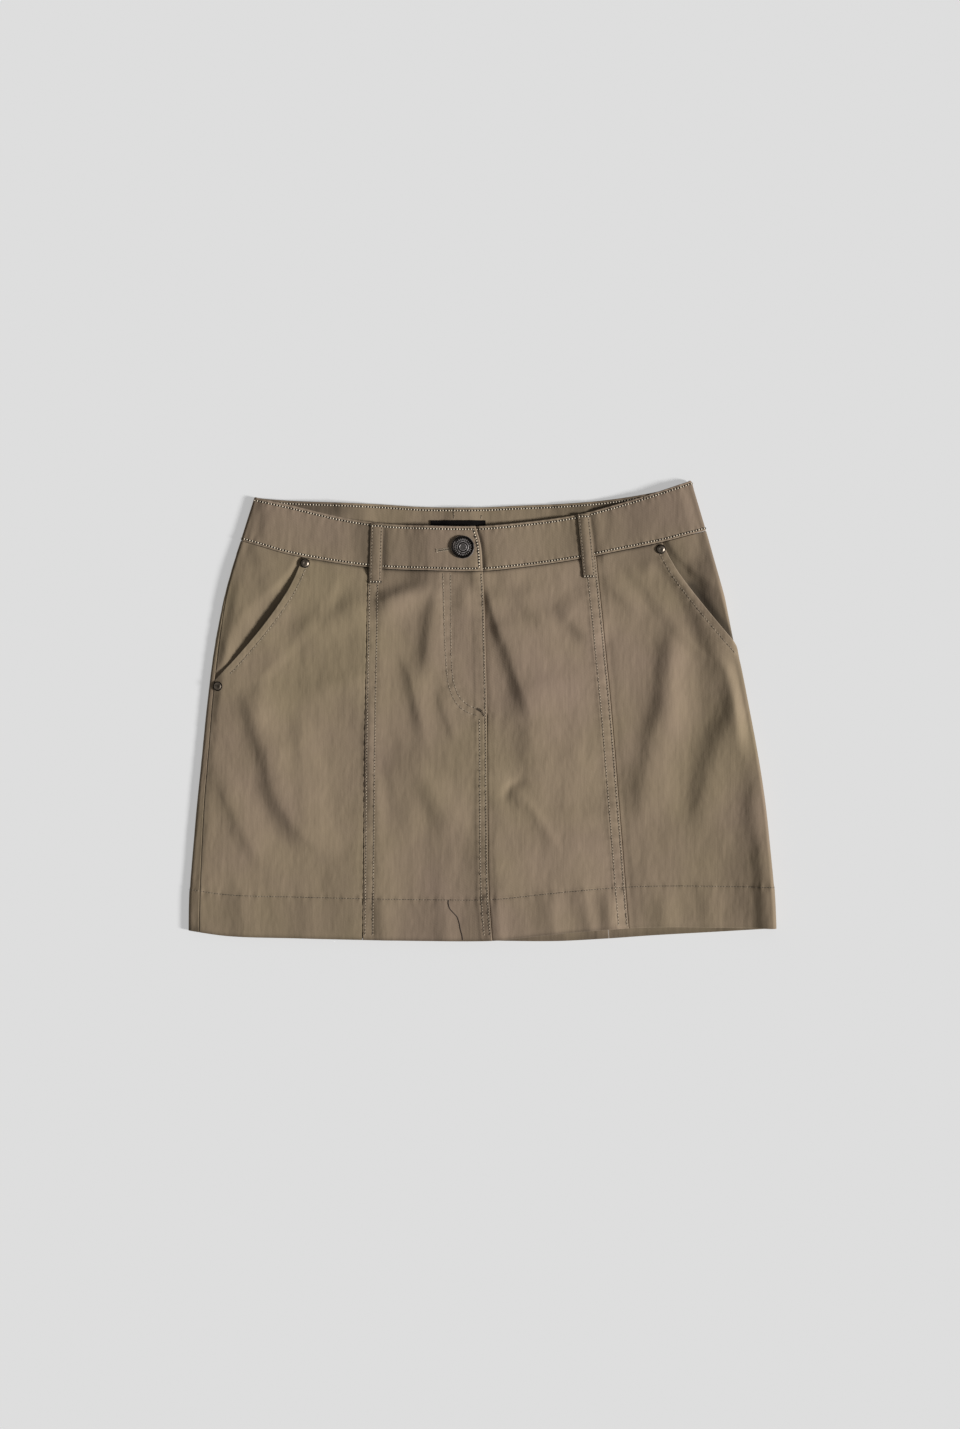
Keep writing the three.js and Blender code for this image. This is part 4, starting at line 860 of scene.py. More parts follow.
facing_rows = [band_row(1, -0.180, 0.166, back_place)]
LABEL_TACKS = (np.array([(-0.0234, 0.1570), (-0.0235, 0.1658)]),
               np.array([(-0.0012, 0.1572), (-0.0010, 0.1622)]))
FACING_CRUMPLES = (
    ("left corner", -172, 160, -166, 176, 0, 0.5, 5, 6),
    ("left", -120, 156, -124, 178, 0, 2.4, 34, 16),
    ("beside the label, left", -62, 152, -60, 170, 0, 0.35, 8, 8),
    ("beside the label, right", 20, 154, 24, 170, 0, 0.35, 9, 7),
    ("right", 142, 164, 136, 186, 0, 2.8, 38, 8),
    ("right corner", 128, 164, 132, 182, 0, 0.5, 6, 5),
)


def facing_face(a, b):
    proud = band_relief(a, b, back_place, (), facing_rows) + fold_rise(FACING_CRUMPLES, a, b)
    return on_back(a, b, LAYER + CLOTH + proud, band_top)


s, y = net((lambda y: left_start(y) + AIR, back_right_end), BAND_ENDS,
           stations(0.36, 0.0028, PLAIN_ROWS, SEAM_ROWS), stations(0.037, 0.0024, BAND_ROWS, BAND_ROWS),
           back_place)
from_top = BAND_ENDS[1](*back_place(s, y)) - y
# Painted shade: the facing is darkened below its top edge towards each end, where it lies deep between the
# front's and the back's top edges.
painted_shade_wedge = ease(-0.080, -0.120, s) + ease(0.055, 0.080, s) * ease(0.165, 0.140, s)
piece = shell("waistband_back_facing", s, y, facing_face(s, y), on_back(s, y, LAYER, band_top),
              0.45 * bell(from_top, 0.0016) - 0.62 * painted_shade_wedge * ease(0.022, 0.006, from_top), inside_twill)
soft_sheet(piece)
sew("waist", facing_rows, facing_face, 1)
sew("loop", LABEL_TACKS, facing_face, 1)

# Size label: a strip of black woven tape, left bare. It lies on the facing's inner side, under the
# waistband's edge, and is sewn down to it.
LABEL_LEFT, LABEL_RIGHT, LABEL_TOP, LABEL_DEPTH = -0.04245, 0.00255, 0.1560, 0.022
LABEL_WALL = 0.0008


def steady(value):
    """A side or an end that keeps to one value."""
    return lambda place, under=None: value + 0 * place


s, y = net((steady(LABEL_LEFT), steady(LABEL_RIGHT)), (steady(LABEL_TOP - LABEL_DEPTH), steady(LABEL_TOP)),
           stations(0.045, 0.0015, PLAIN_ROWS, PLAIN_ROWS), stations(0.022, 0.0015, PLAIN_ROWS, PLAIN_ROWS),
           back_place)
edge = np.minimum(np.minimum(s - LABEL_LEFT, LABEL_RIGHT - s), LABEL_TOP - y)
proud = 0.00012 * np.sin(s / 0.0017) * np.exp(-edge / 0.002) - rounding(edge, 0.0003)
black, tree, _ = new_paint("black_woven_tape")
place = node_in(tree, "ShaderNodeUVMap", {}, uv_map="cloth").outputs["UV"]
weave = node_in(tree, "ShaderNodeTexChecker", {"Vector": place, "Scale": 2600.0,
                "Color1": (0.006, 0.005, 0.005, 1), "Color2": (0.002, 0.002, 0.002, 1)}).outputs
shade = blend_in(tree, noise_in(tree, place, 900.0, 3.0), weave["Color"], (0.010, 0.009, 0.009, 1))
finish_paint(tree, shade, weave["Fac"], 0.00008, {"Roughness": 0.9, "Specular IOR Level": 0.03})
piece = shell("size_label", s, y, on_back(s, y, 2 * LAYER + LABEL_WALL + proud, band_top),
              on_back(s, y, 2 * LAYER, band_top), 0 * s, black)
soft_sheet(piece)

# Pocket facings: a shaped piece of twill under each slanted mouth. It lies one layer lower than the
# front panel, and comes up to the panel's own level towards the side seam.
facing_twill = twill("twill_pocket_facing", tone=0.92, olive=0.62, slub=0.16)
FACING_REACH = 0.026  # below the mouth's end
FACING_FOLDS = (
    ("left, upper", -178, 118, -186, 138, 0, 0.6, 7, 6),
    ("left, middle", -196, 70, -202, 100, 2, 0.5, 5, 8),
    ("left, low", -212, 42, -212, 66, 0, 0.4, 4, 5),
    ("right, upper", 172, 108, 168, 134, 0, 0.5, 5, 6),
    ("right, middle", 196, 66, 184, 98, 0, 0.5, 5, 5),
)


def pocket_facing(name, sides, past, mouth_end, across, gape, shades):
    """past: how far in from the mouth's edge; gape: how far it sinks there; shades: how much painted
    shade darkens all of it, its outer part, and the strip along the mouth."""
    def lies(a, b):
        middle = mid_mouth(mouth_end + MOUTH_LENGTH + 0.001 - b)
        dip = gape * middle * bell(past(a, b), 0.011)
        sunk = ease(mix(0.006, 0.026, middle), mix(0.001, 0.010, middle), past(a, b))
        return LAYER * sunk + dip - fold_rise(FACING_FOLDS, a, b)

    s, y = net(sides, (steady(mouth_end - FACING_REACH), seam_at), across,
               stations(0.12, 0.0020, PLAIN_ROWS, PLAIN_ROWS), front_place)
    depth, away = lies(s, y), past(s, y)
    in_shade = ease(0.008, -0.006, y - 0.101 - 1.35 * (np.abs(s) - 0.168))
    roll = rounding(seam_at(*front_place(s, y)) - y, EDGE_ROLL)
    roll += rounding(np.minimum(s - sides[0](y), sides[1](y) - s), EDGE_ROLL)
    # Painted shade: over all of it, its outer part, the strip along the mouth, and the right fold's roll near
    # the waist.
    wear_and_painted_shade = -shades[0] - shades[1] * in_shade * bell(away, 0.015) - shades[2] * bell(away, 0.0065)
    wear_and_painted_shade = wear_and_painted_shade - 0.35 * ease(0.092, 0.112, y) * ease(-0.008, 0.002, s - right_start(y))
    piece = shell(name, s, y, on_front(s, y, depth + roll, side_top), on_front(s, y, depth + CLOTH, side_top),
                  wear_and_painted_shade, facing_twill)
    soft_sheet(piece)


def facing_left_side(y):
    return mouth_left(np.maximum(y, MOUTH_END_LEFT)) + FACING_WIDTH


def facing_right_side(y):
    return mix(right_start(y), front_right_end(y), ease(MOUTH_END_RIGHT - 0.014, MOUTH_END_RIGHT - 0.003, y))


pocket_facing("pocket_facing_left", (front_left_end, facing_left_side), lambda a, b: mouth_left(b) - a,
              MOUTH_END_LEFT, stations(0.08, 0.0020, FOLD_ROWS[:12], PLAIN_ROWS), 0.0013, (0.05, 0.05, 0.0))
pocket_facing("pocket_facing_right",
              (lambda y: mouth_right(np.maximum(y, MOUTH_END_RIGHT)) - FACING_WIDTH, facing_right_side),
              lambda a, b: a - mouth_right(b), MOUTH_END_RIGHT, stations(0.07, 0.0018, PLAIN_ROWS, FOLD_ROWS),
              0.0016, (0.02, 0.70, 0.60))

# Front side panels: twill, cut away at the pocket mouths, where the edge is turned under and
# topstitched. The right one goes on round the fold to its side seam, underneath.
left_twill = twill("twill_side_left", tone=1.01, olive=0.72, slub=0.14)
right_twill = twill("twill_side_right", tone=1.02, olive=0.42, slub=0.14)
# Painted shade in hollows under the waistband: how dark, where across, and how wide and tall.
WAIST_HOLLOWS = ((0.28, -0.070, 0.026, 0.011), (0.30, 0.126, 0.021, 0.013))


def mouth_lift(past, down, tall):
    """A pocket mouth gapes: its edge stands up between its ends. past: distance in from the edge."""
    return tall * mid_mouth(down) * bell(np.maximum(past, 0), 0.016)


def left_side_top(x, y):
    return side_top(x, y) + mouth_lift(x - mouth_left(y), MOUTH_TOP_LEFT[1] - y, 0.0014)


def right_side_top(x, y):
    return side_top(x, y) + mouth_lift(mouth_right(y) - x, MOUTH_TOP_RIGHT[1] - y, 0.0006)


def side_left_edge(y):
    return np.maximum(front_left_end(y), mouth_left(y))


def side_right_edge(y):
    return np.minimum(front_right_end(y), mouth_right(y))


def front_panel(name, sides, seams, across, rows, height_of, paint, edges, grooves=()):
    """A front panel. seams and rows: what relief says of them; edges: lines that are worn pale, and
    grooves: lines darkened with painted shade, as in the seams' creases."""
    s, y = net(sides, (hem_at, seam_at), across, stations(0.30, 0.0018, HEM_ROWS, PLAIN_ROWS), front_place)
    x, under = front_place(s, y)
    hem_row = hem_stitches(s, y)
    paths = [path for _, path in rows]

    def face(a, b):
        proud = relief(a, b, front_place, seams, [*paths, hem_row])
        return on_front(a, b, -kept_flat(proud, front_place(a, b)[1]), height_of)

    from_hem, from_waist = y - hem_at(x, under), seam_at(x, under) - y
    wear_and_painted_shade = 0.15 * bell(from_hem, 0.0011)
    for line, amount in edges:
        wear_and_painted_shade = np.maximum(wear_and_painted_shade, amount * bell(s - line(y), 0.0013))
    for path in paths:
        wear_and_painted_shade = np.maximum(wear_and_painted_shade, 0.22 * bell(near(path, s, y)[0], 0.0022))
    # Painted shade: along the hem's edge, under the waist seam, along the grooves, on the right fold's roll
    # and in the hollows under the waistband. The doubled hem is also a little darker, except towards the
    # right side.
    wear_and_painted_shade = wear_and_painted_shade - mix(0.2, 0.6, ease(0.130, 0.070, x)) * bell(from_hem, 0.0018)
    wear_and_painted_shade = wear_and_painted_shade - 0.09 * ease(HEM_DEPTH + 0.004, HEM_DEPTH - 0.004, from_hem) * ease(0.130, 0.090, x)
    wear_and_painted_shade = wear_and_painted_shade - 0.60 * bell(from_waist, 0.0015)
    for line, depth in grooves:
        wear_and_painted_shade = wear_and_painted_shade - depth * bell(s - line(y), 0.0013)
    wear_and_painted_shade = wear_and_painted_shade - 0.3 * ease(-0.002, 0.003, s - right_start(y))
    for amount, at, wide, tall in WAIST_HOLLOWS:
        wear_and_painted_shade = wear_and_painted_shade - amount * bell(x - at, wide) * bell(from_waist, tall) * ~under
    inner = on_front(s, y, hem_wall(x, under, y), height_of)
    soft_sheet(shell(name, s, y, face(s, y), inner, wear_and_painted_shade, paint))
    for thread, path in rows:
        sew(thread, [path], face, 1)
    sew("hem", [hem_row], face, 1)


def mouth_row(edge, low, high, by):
    y = np.linspace(low, high, 60)
    return beside(np.stack([edge(y), y], axis=1), by)


side_left_line, side_right_line = left_seam_of("left_seam"), right_seam_of("right_seam")
front_panel("front_side_left", (side_left_edge, side_left_line),
            [(side_left_edge, 0.0, 0.01), (side_left_line, -0.00012, 0.0035)],
            stations(0.12, 0.0018, SEAM_ROWS[:11], SEAM_ROWS[:9]),
            [("mouth", mouth_row(mouth_left, MOUTH_END_LEFT + 0.008, 0.1265, -0.0058))],
            left_side_top, left_twill, [(side_left_edge, 0.5)])
front_panel("front_side_right", (side_right_line, side_right_edge),
            [(side_right_line, -0.0003, 0.0035), (side_right_edge, 0.0, 0.01)],
            stations(0.12, 0.0018, SEAM_ROWS[:9], FOLD_ROWS),
            [("mouth", mouth_row(mouth_right, MOUTH_END_RIGHT + 0.012, 0.1375, 0.0058))],
            right_side_top, right_twill, [(side_right_edge, 0.6)],
            [(side_right_line, 0.12)])

# Fly zip: a closed zip on twill-coloured tape, sewn behind the flap, with its metal slider up. All
# of it is hidden under the flap.
ZIP_OFFSET, ZIP_WIDTH, ZIP_LOW, ZIP_HIGH = 0.013, 0.022, 0.002, 0.108
ZIP_WALL = 0.0008
TOOTH_PITCH = 0.0022


def zip_middle(y):
    return level("centre", y) - ZIP_OFFSET


tape_cloth = twill("zip_tape_cloth", tone=0.8, olive=0.6, slub=0.03)
s, y = net((lambda y: zip_middle(y) - ZIP_WIDTH / 2, lambda y: zip_middle(y) + ZIP_WIDTH / 2),
           (steady(ZIP_LOW), steady(ZIP_HIGH)),
           stations(0.022, 0.001, PLAIN_ROWS, PLAIN_ROWS), stations(0.106, 0.003, PLAIN_ROWS, PLAIN_ROWS),
           back_place)
cord = 0.0003 * bell(np.abs(s - zip_middle(y)) - 0.0026, 0.0006)
tape = shell("fly_zip", s, y, on_back(s, y, LAYER + ZIP_WALL + cord, side_top),
             on_back(s, y, LAYER, side_top), 0 * s, tape_cloth)
soft_sheet(tape)


def metal(name, colour, polish, tarnish, metallic=1.0):
    """Plated metal with darker tarnish in patches, small scratches and rubbed, brighter spots."""
    paint, tree, shader = new_paint(name)
    place = node_in(tree, "ShaderNodeTexCoord", {}).outputs["Object"]
    fine = noise_in(tree, place, 2700.0, 3.0)
    patch = range_in(tree, noise_in(tree, place, 420.0, 4.0), 0.38, 0.62)
    rough = range_in(tree, fine, 0.3, 0.7, polish - 0.08, polish + 0.14)
    tree.links.new(rough, shader.inputs["Roughness"])
    shade = blend_in(tree, patch, (*colour, 1), (*tarnish, 1))
    finish_paint(tree, shade, fine, 0.00003, {"Metallic": metallic})
    return paint


gunmetal = metal("gunmetal", (0.030, 0.026, 0.024), 0.42, (0.012, 0.010, 0.009))
brass = metal("antique_brass", (0.30, 0.25, 0.20), 0.40, (0.13, 0.105, 0.08))

# The teeth are small boxes in two staggered rows, as one joined mesh.
TOOTH = [(x, y, z) for z in (0.0, 0.0006) for y in (-0.00045, 0.00045) for x in (-0.0016, 0.0012)]
BOX_SIDES = np.array([(0, 2, 3, 1), (4, 5, 7, 6), (0, 1, 5, 4), (2, 6, 7, 3), (0, 4, 6, 2), (1, 3, 7, 5)])
starts = []
for index, tooth_level in enumerate(np.arange(ZIP_LOW + 0.002, ZIP_HIGH - 0.002, TOOTH_PITCH)):
    middle = float(zip_middle(tooth_level)) + (0.0004 if index % 2 else 0.0)
    lift = on_back(middle, tooth_level, LAYER + ZIP_WALL + 0.00002, side_top)[2]
    starts.append((middle, tooth_level, lift))
points = (np.array(starts)[:, None, :] + np.array(TOOTH)[None, :, :]).reshape(-1, 3)
boxes = BOX_SIDES[None, :, :] + (np.arange(len(starts)) * len(TOOTH))[:, None, None]
teeth = new_piece("zip_teeth", points, boxes.reshape(-1, 4).tolist(), [brass], smooth=False)
slider = bpy.data.objects["zip_slider"]
slider.data.materials.clear()
slider.data.materials.append(brass)

# Front centre panels: the left one carries the fly flap, topstitched in a curve, and its edge covers
# the right one's. Allowances pressed behind them raise a strip along each seam.
FLY_END = -0.003
FLAP_WIDTH, FLAP_COVER = 0.034, 0.0055
FLAP_HEIGHT, UNDERFLAP_HEIGHT = 0.0058, 0.0048
centre_left_twill = twill("twill_centre_left", tone=0.975, olive=0.50, slub=0.15)
centre_right_twill = twill("twill_centre_right", tone=1.105, olive=0.36, slub=0.09)


def beside_fly(y):
    return ease(FLY_END - 0.030, FLY_END - 0.003, y)


def flap_top(x, y):
    edge = level("centre", y)
    body = body_top(x, y, band_over_top)
    folds = fold_rise(FOLDS, x, y)
    flap = mix(no_lower(FLAP_HEIGHT + folds, 0.0052), under_band(x, y, band_over_top), near_waist(x, y))
    on_zip = ease(edge - FLAP_WIDTH - 0.024, edge - ZIP_OFFSET - ZIP_WIDTH / 2 + 0.003, x)
    return no_lower(mix(body, flap, on_zip * beside_fly(y)), body, 0.0003)


def underflap_top(x, y):
    edge = level("centre", y)
    body = body_top(x, y, band_top)
    folds = fold_rise(FOLDS, x, y)
    groove = -0.0004 * bell(np.maximum(x - edge, 0), 0.0018)
    sunk = no_lower(UNDERFLAP_HEIGHT + folds + groove, 0.0033)
    under = mix(sunk, under_band(x, y, band_top), near_waist(x, y))
    return mix(body, under, ease(edge + 0.024, edge + 0.003, x) * beside_fly(y))


def under_edge(y):
    return level("centre", y) + mix(HALF_GAP, -FLAP_COVER, ease(FLY_END, FLY_END + 0.006, y))


def over_edge(y):
    return level("centre", y) - HALF_GAP


def smooth_path(corners):
    """A smooth path through a few corners, in millimetres."""
    corners = np.array(corners, dtype=float) / 1000
    steps = np.concatenate([[0], np.cumsum(np.hypot(*np.diff(corners, axis=0).T))])
    rows = {"far": steps, "s": corners[:, 0], "y": corners[:, 1]}
    far = np.linspace(0, steps[-1], 60)
    return np.stack([along(rows, "far", "s", far), along(rows, "far", "y", far)], axis=1)


FLY_CURVES = (
    smooth_path([(-32.4, 113), (-31.6, 85), (-30.8, 58), (-29.4, 35), (-27.4, 20), (-22.6, 8), (-14.6, 0.2),
                 (-3.9, -4.1)]),
    smooth_path([(-26.2, 113), (-25.9, 85), (-25.8, 58), (-25.0, 35), (-23.2, 22), (-18.8, 11.4), (-12, 5),
                 (-3.9, 1.6)]),
)
left_line, right_line = right_seam_of("left_seam"), left_seam_of("right_seam")
front_panel("front_centre_left", (left_line, over_edge),
            [(left_line, 0.00008, 0.0094), (over_edge, 0.00030, 0.0086)],
            stations(0.104, 0.0018, SEAM_ROWS, SEAM_ROWS),
            [("seam", up_line(line, by, -0.184, high)) for line, by, high in (
                (left_line, 0.0017, 0.115), (left_line, 0.0082, 0.115),
                (over_edge, -0.0014, 0.1135), (over_edge, -0.0062, -0.006))]
            + [("mouth", curve) for curve in FLY_CURVES],
            flap_top, centre_left_twill, [(over_edge, 0.4)],
            [(lambda y: left_line(y) + 0.0100, 0.25)])
front_panel("front_centre_right", (under_edge, right_line),
            [(under_edge, -0.0003, 0.0035), (right_line, 0.00034, 0.0094)],
            stations(0.108, 0.0018, SEAM_ROWS[:9], SEAM_ROWS),
            [("seam", up_line(right_line, by, -0.176, 0.126)) for by in (-0.0014, -0.0082)],
            underflap_top, centre_right_twill, [(right_line, 0.45)],
            [(lambda y: over_edge(y) + 0.0008, 0.4)])

# Front waistband: two doubled strips of twill, topstitched on all sides. The left end, with the
# buttonhole, covers the right one's underlap, and their edges stand a little off the panels.


def front_band(name, sides, across, height_of, rows, hollows):
    """One end of the front waistband. hollows: lines along which shade is painted, how wide and how dark."""
    s, y = net(sides, BAND_ENDS, across, stations(0.037, 0.0016, BAND_ROWS, BAND_ROWS), front_place)
    x, under = front_place(s, y)

    def face(a, b):
        proud = band_relief(a, b, front_place, sides, rows)
        return on_front(a, b, -kept_flat(proud, front_place(a, b)[1]), height_of)

    wear_and_painted_shade = 0.55 * bell(BAND_ENDS[1](x, under) - y, 0.0014)
    wear_and_painted_shade = np.maximum(wear_and_painted_shade, 0.40 * bell(y - BAND_ENDS[0](x, under), 0.0012))
    for line in sides:
        wear_and_painted_shade = np.maximum(wear_and_painted_shade, 0.35 * bell(s - line(y), 0.0012))
    # Painted shade: along the hollows' lines, beside the loops and the overlap's end, and on the right fold's
    # roll.
    for line, wide, depth in hollows:
        wear_and_painted_shade = wear_and_painted_shade - depth * bell(s - line(y), wide)
    wear_and_painted_shade = wear_and_painted_shade - 0.35 * ease(-0.002, 0.003, s - right_start(y))
    piece = shell(name, s, y, face(s, y), on_front(s, y, BAND_WALL, height_of), wear_and_painted_shade, band_twill)
    soft_sheet(piece)
    sew("waist", rows, face, 1)
    return piece


def overlap_end(y):
    return level("centre", y)


def under_overlap_top(x, y):
    """The right strip sinks beside the left one's end."""
    return band_top(x, y) - 0.0012 * bell(x - overlap_end(y), 0.0024)


band_left = front_band(
    "waistband_front_left", (front_left_end, overlap_end), stations(0.19, 0.0017, SEAM_ROWS, PLAIN_ROWS),
    band_over_top,
    [band_row(0, -0.199, -0.0040, front_place), band_row(1, -0.188, -0.0072, front_place),
     up_line(overlap_end, BAND_STITCHES[1], 0.1165, 0.1488, 16)],
    [(lambda y: front_left_end(y) + 0.003, 0.0060, 0.35), (steady(-0.0965), 0.0075, 0.42),
     (lambda y: -0.0806 + 0.045 * (y - 0.134), 0.0016, 0.8), (steady(-0.0780), 0.0150, 0.16),
     (steady(-0.0220), 0.0140, 0.08)])
front_band(
    "waistband_front_right", (steady(-UNDERLAP), front_right_end),
    stations(0.225, 0.0011, PLAIN_ROWS, FOLD_ROWS), under_overlap_top,
    [band_row(0, -0.036, 0.190, front_place), band_row(1, -0.036, 0.178, front_place)],
    [(lambda y: overlap_end(y) + 0.0008, 0.0016, 0.9), (lambda y: 0.0915 - 0.135 * (y - 0.142), 0.0012, 0.6),
     (steady(0.1220), 0.0220, 0.20), (steady(0.1700), 0.0120, 0.20),
     (lambda y: 0.0752 - 0.157 * (y - 0.140), 0.0026, 0.30)])

# Buttonhole: a slit cut through both plies of the band's left end, under the button and out to its
# left. Its oversewn edges come further on, with the other close stitches.
BUTTON_X, BUTTON_Y = -0.0160, 0.1338
HOLE_LENGTH, HOLE_WIDTH = 0.0212, 0.0004
HOLE_TURN = math.radians(8)
seat = float(band_over_top(BUTTON_X, BUTTON_Y))


def only(*pieces):
    """Selects some pieces and nothing else, with the last of them active."""
    bpy.ops.object.select_all(action="DESELECT")
    for piece in pieces:
        piece.select_set(True)
    bpy.context.view_layer.objects.active = pieces[-1]


bpy.ops.object.select_all(action="DESELECT")
bpy.ops.mesh.primitive_cube_add(size=1, location=(
    BUTTON_X - math.cos(HOLE_TURN) * HOLE_LENGTH / 2, BUTTON_Y - math.sin(HOLE_TURN) * HOLE_LENGTH / 2, seat),
    rotation=(0, 0, HOLE_TURN), scale=(HOLE_LENGTH, HOLE_WIDTH, 0.0056))
slit = bpy.context.object
cut = band_left.modifiers.new("slit", "BOOLEAN")
cut.object = slit
cut.operation = "DIFFERENCE"
cut.solver = "EXACT"
only(band_left)
bpy.ops.object.modifier_apply(modifier="slit")
bpy.data.objects.remove(slit)

# Belt loops: strips of twill with turned edges, stitched along both and sewn down at each end. The
# two front ones bow off the waistband, and the three at the back lie flat under it.
LOOP_WIDTH, LOOP_INSET, LOOP_STEP, LOOP_AIR = 0.0107, 0.0006, 0.007, 0.00040
# Each: where its top and its low end lie across the skirt, how far it reaches below the seam, how
# dark the shade painted on it is, and how far across that goes.
FRONT_LOOPS = (("belt_loop_front_left", -0.0861, -0.0878, 0.0125, 0.22, LOOP_WIDTH),
               ("belt_loop_front_right", 0.0826, 0.0876, 0.017, 0.42, 0.0012))
BACK_LOOPS = (("belt_loop_back_left", -0.1045, -0.1065, 0.010, 0.0, LOOP_WIDTH),
              ("belt_loop_back_centre", -0.0175, -0.0160, 0.010, 0.0, LOOP_WIDTH),
              ("belt_loop_back_right", 0.0735, 0.0755, 0.010, 0.0, LOOP_WIDTH))
LOOP_BOWS = (0.0002, 0.0006)  # how far the left and right one stand off the waistband
LOOP_CROWN = 0.0006
LOOP_STITCH_INSET = 0.0017
LOOP_ROWS, LOOP_END_ROWS = (0, 0.12, 0.35, 0.7, 1.2, 1.7, 2.2), (0, 0.15, 0.4, 0.8, 1.4)
loop_twill = twill("twill_loops", tone=0.98, olive=0.40, slub=0.15)


def belt_loop(name, top_x, low_x, reach, shade, shaded_to, seam_column, top_column, height_of, out, rests_on):
    """A belt loop, from its row of numbers. out: 1 on the front, where it bulges, -1 underneath."""
    low = float(waist(seam_column, low_x)) - reach
    high = float(waist(top_column, top_x)) - LOOP_INSET

    def middle(y):
        return mix(low_x, top_x, (y - low) / (high - low))

    def lies_at(b):
        return height_of(middle(b), b, (b - low) / (high - low))

    def face(a, b):
        across = (a - middle(b)) / (LOOP_WIDTH / 2)
        edge = LOOP_WIDTH / 2 - np.abs(a - middle(b))
        proud = -rounding(edge, 0.0006) + 0.00012 * np.cos(b / 0.00105) * across**2
        proud -= LOOP_CROWN * across**2 * (out > 0)
        proud -= STITCH_DIP * bell(edge - LOOP_STITCH_INSET, 0.0006)
        proud -= rounding(np.minimum(b - low, high - b), 0.0005)
        return np.stack([a, b, lies_at(b) + (LOOP_WALL + proud if out > 0 else -proud)], axis=-1)

    s, y = net((lambda y: middle(y) - LOOP_WIDTH / 2, lambda y: middle(y) + LOOP_WIDTH / 2),
               (steady(low), steady(high)), stations(LOOP_WIDTH, 0.0012, LOOP_ROWS, LOOP_ROWS),
               stations(high - low, 0.0011, LOOP_END_ROWS, LOOP_END_ROWS), lambda a, b: (a, None))
    edge = LOOP_WIDTH / 2 - np.abs(s - middle(y))
    # Paler where rubbed beside the stitch lines; painted shade along its very edges, at its low end and over
    # its shaded part.
    wear_and_painted_shade = 0.40 * bell(edge - 0.0012, 0.0007) - 0.9 * bell(edge, 0.0005) - 0.9 * bell(y - low, 0.0007)
    wear_and_painted_shade = wear_and_painted_shade - shade * ease(shaded_to, shaded_to - 0.0036, s - middle(y))
    inner = np.stack([s, y, lies_at(y) + (0 if out > 0 else LOOP_WALL)], axis=-1)
    piece = shell(name, s, y, face(s, y), inner, wear_and_painted_shade, loop_twill)
    soft_sheet(piece)
    sew("loop", [up_line(middle, side * (LOOP_WIDTH / 2 - LOOP_STITCH_INSET), low + 0.0012, high - 0.0012, 20)
                 for side in (-1, 1)], face, out)
    across = np.linspace(-LOOP_WIDTH / 2 + 0.0004, LOOP_WIDTH / 2 - 0.0004, 8)
    sew("waist", [np.stack([middle(end) + across, 0 * across + end], axis=1)
                  for end in (low + 0.0013, high - 0.0022)], face, out)


def over_waist(x, y, t):
    """What a front loop lies on, and its bow off it. t: the share of its length from its low end."""
    seam = waist("front_seam", x)
    surface = mix(side_top(x, np.minimum(y, seam)), band_top(x, y), ease(seam - LOOP_STEP, seam - 0.001, y))
    return surface + LOOP_AIR + np.where(x < 0, *LOOP_BOWS) * np.sin(math.pi * np.clip(t, 0, 1))


def over_floor(x, y, t):
    """What a back loop lies on: the floor, all along."""
    return 0.00002 + 0 * y


for loop in FRONT_LOOPS:
    belt_loop(*loop, "front_seam", "front_top", over_waist, 1, loop[0].replace("belt_loop", "waistband"))
for loop in BACK_LOOPS:
    belt_loop(*loop, "back_seam", "back_top", over_floor, -1, "floor")

# Topstitching: short spun-thread stitches along every row, each sunk into the cloth at both ends,
# with a dark lozenge of painted shade for the needle hole between it and the next. Each group of rows is one
# joined piece.
dice = np.random.default_rng(41)


def thread_paint(name, colour, dark):
    paint, tree, _ = new_paint(name)
    place = node_in(tree, "ShaderNodeTexCoord", {}).outputs["Object"]
    worn = range_in(tree, noise_in(tree, place, 130.0), 0.36, 0.64)
    twist = node_in(tree, "ShaderNodeTexWave", {"Vector": place, "Scale": 700.0, "Distortion": 1.0},
                    bands_direction="DIAGONAL").outputs["Fac"]
    finish_paint(tree, blend_in(tree, worn, (*colour, 1), (*dark, 1)), twist, 0.00005,
                 {"Roughness": 0.7, "Sheen Weight": 0.1})
    return paint


# Needle holes: a dark, mottled paint, the painted shade inside each hole.
needle_hole_shade, tree, shader = new_paint("needle_hole_shade")
hole_shade_mottle = noise_in(tree, node_in(tree, "ShaderNodeTexCoord", {}).outputs["Object"], 1500.0)
shade = blend_in(tree, hole_shade_mottle, (0.012, 0.009, 0.006, 1), (0.035, 0.026, 0.018, 1))
tree.links.new(shade, shader.inputs["Base Color"])
shader.inputs["Roughness"].default_value = 1.0

# One stitch: four rings round its length and an end cap each side. One hole: a flat lozenge, painted dark as
# the shade in a needle hole.
RING_PLACES = ((-1, 0.45, -0.62), (-0.5, 1, 0.25), (0.5, 1, 0.25), (1, 0.45, -0.62))
STITCH_POINTS = [(share, size * math.cos(turn), size * math.sin(turn) + up) for share, size, up in RING_PLACES
                 for turn in (math.tau * corner / 5 for corner in range(5))]
STITCH_FACES = [(ring + k, ring + (k + 1) % 5, ring + (k + 1) % 5 + 5, ring + k + 5)
                for ring in (0, 5, 10) for k in range(5)] + [(4, 3, 2, 1, 0), (15, 16, 17, 18, 19)]
HOLE_POINTS = [(math.cos(k * math.tau / 6), math.sin(k * math.tau / 6), 0) for k in range(6)]
HOLE_POINTS += [(0, 0, 1), (0, 0, -1)]
HOLE_FACES = [(k, (k + 1) % 6, 6) for k in range(6)] + [((k + 1) % 6, k, 7) for k in range(6)]
HOLE_DEPTH, HOLE_RISE = 0.00014, 0.00028
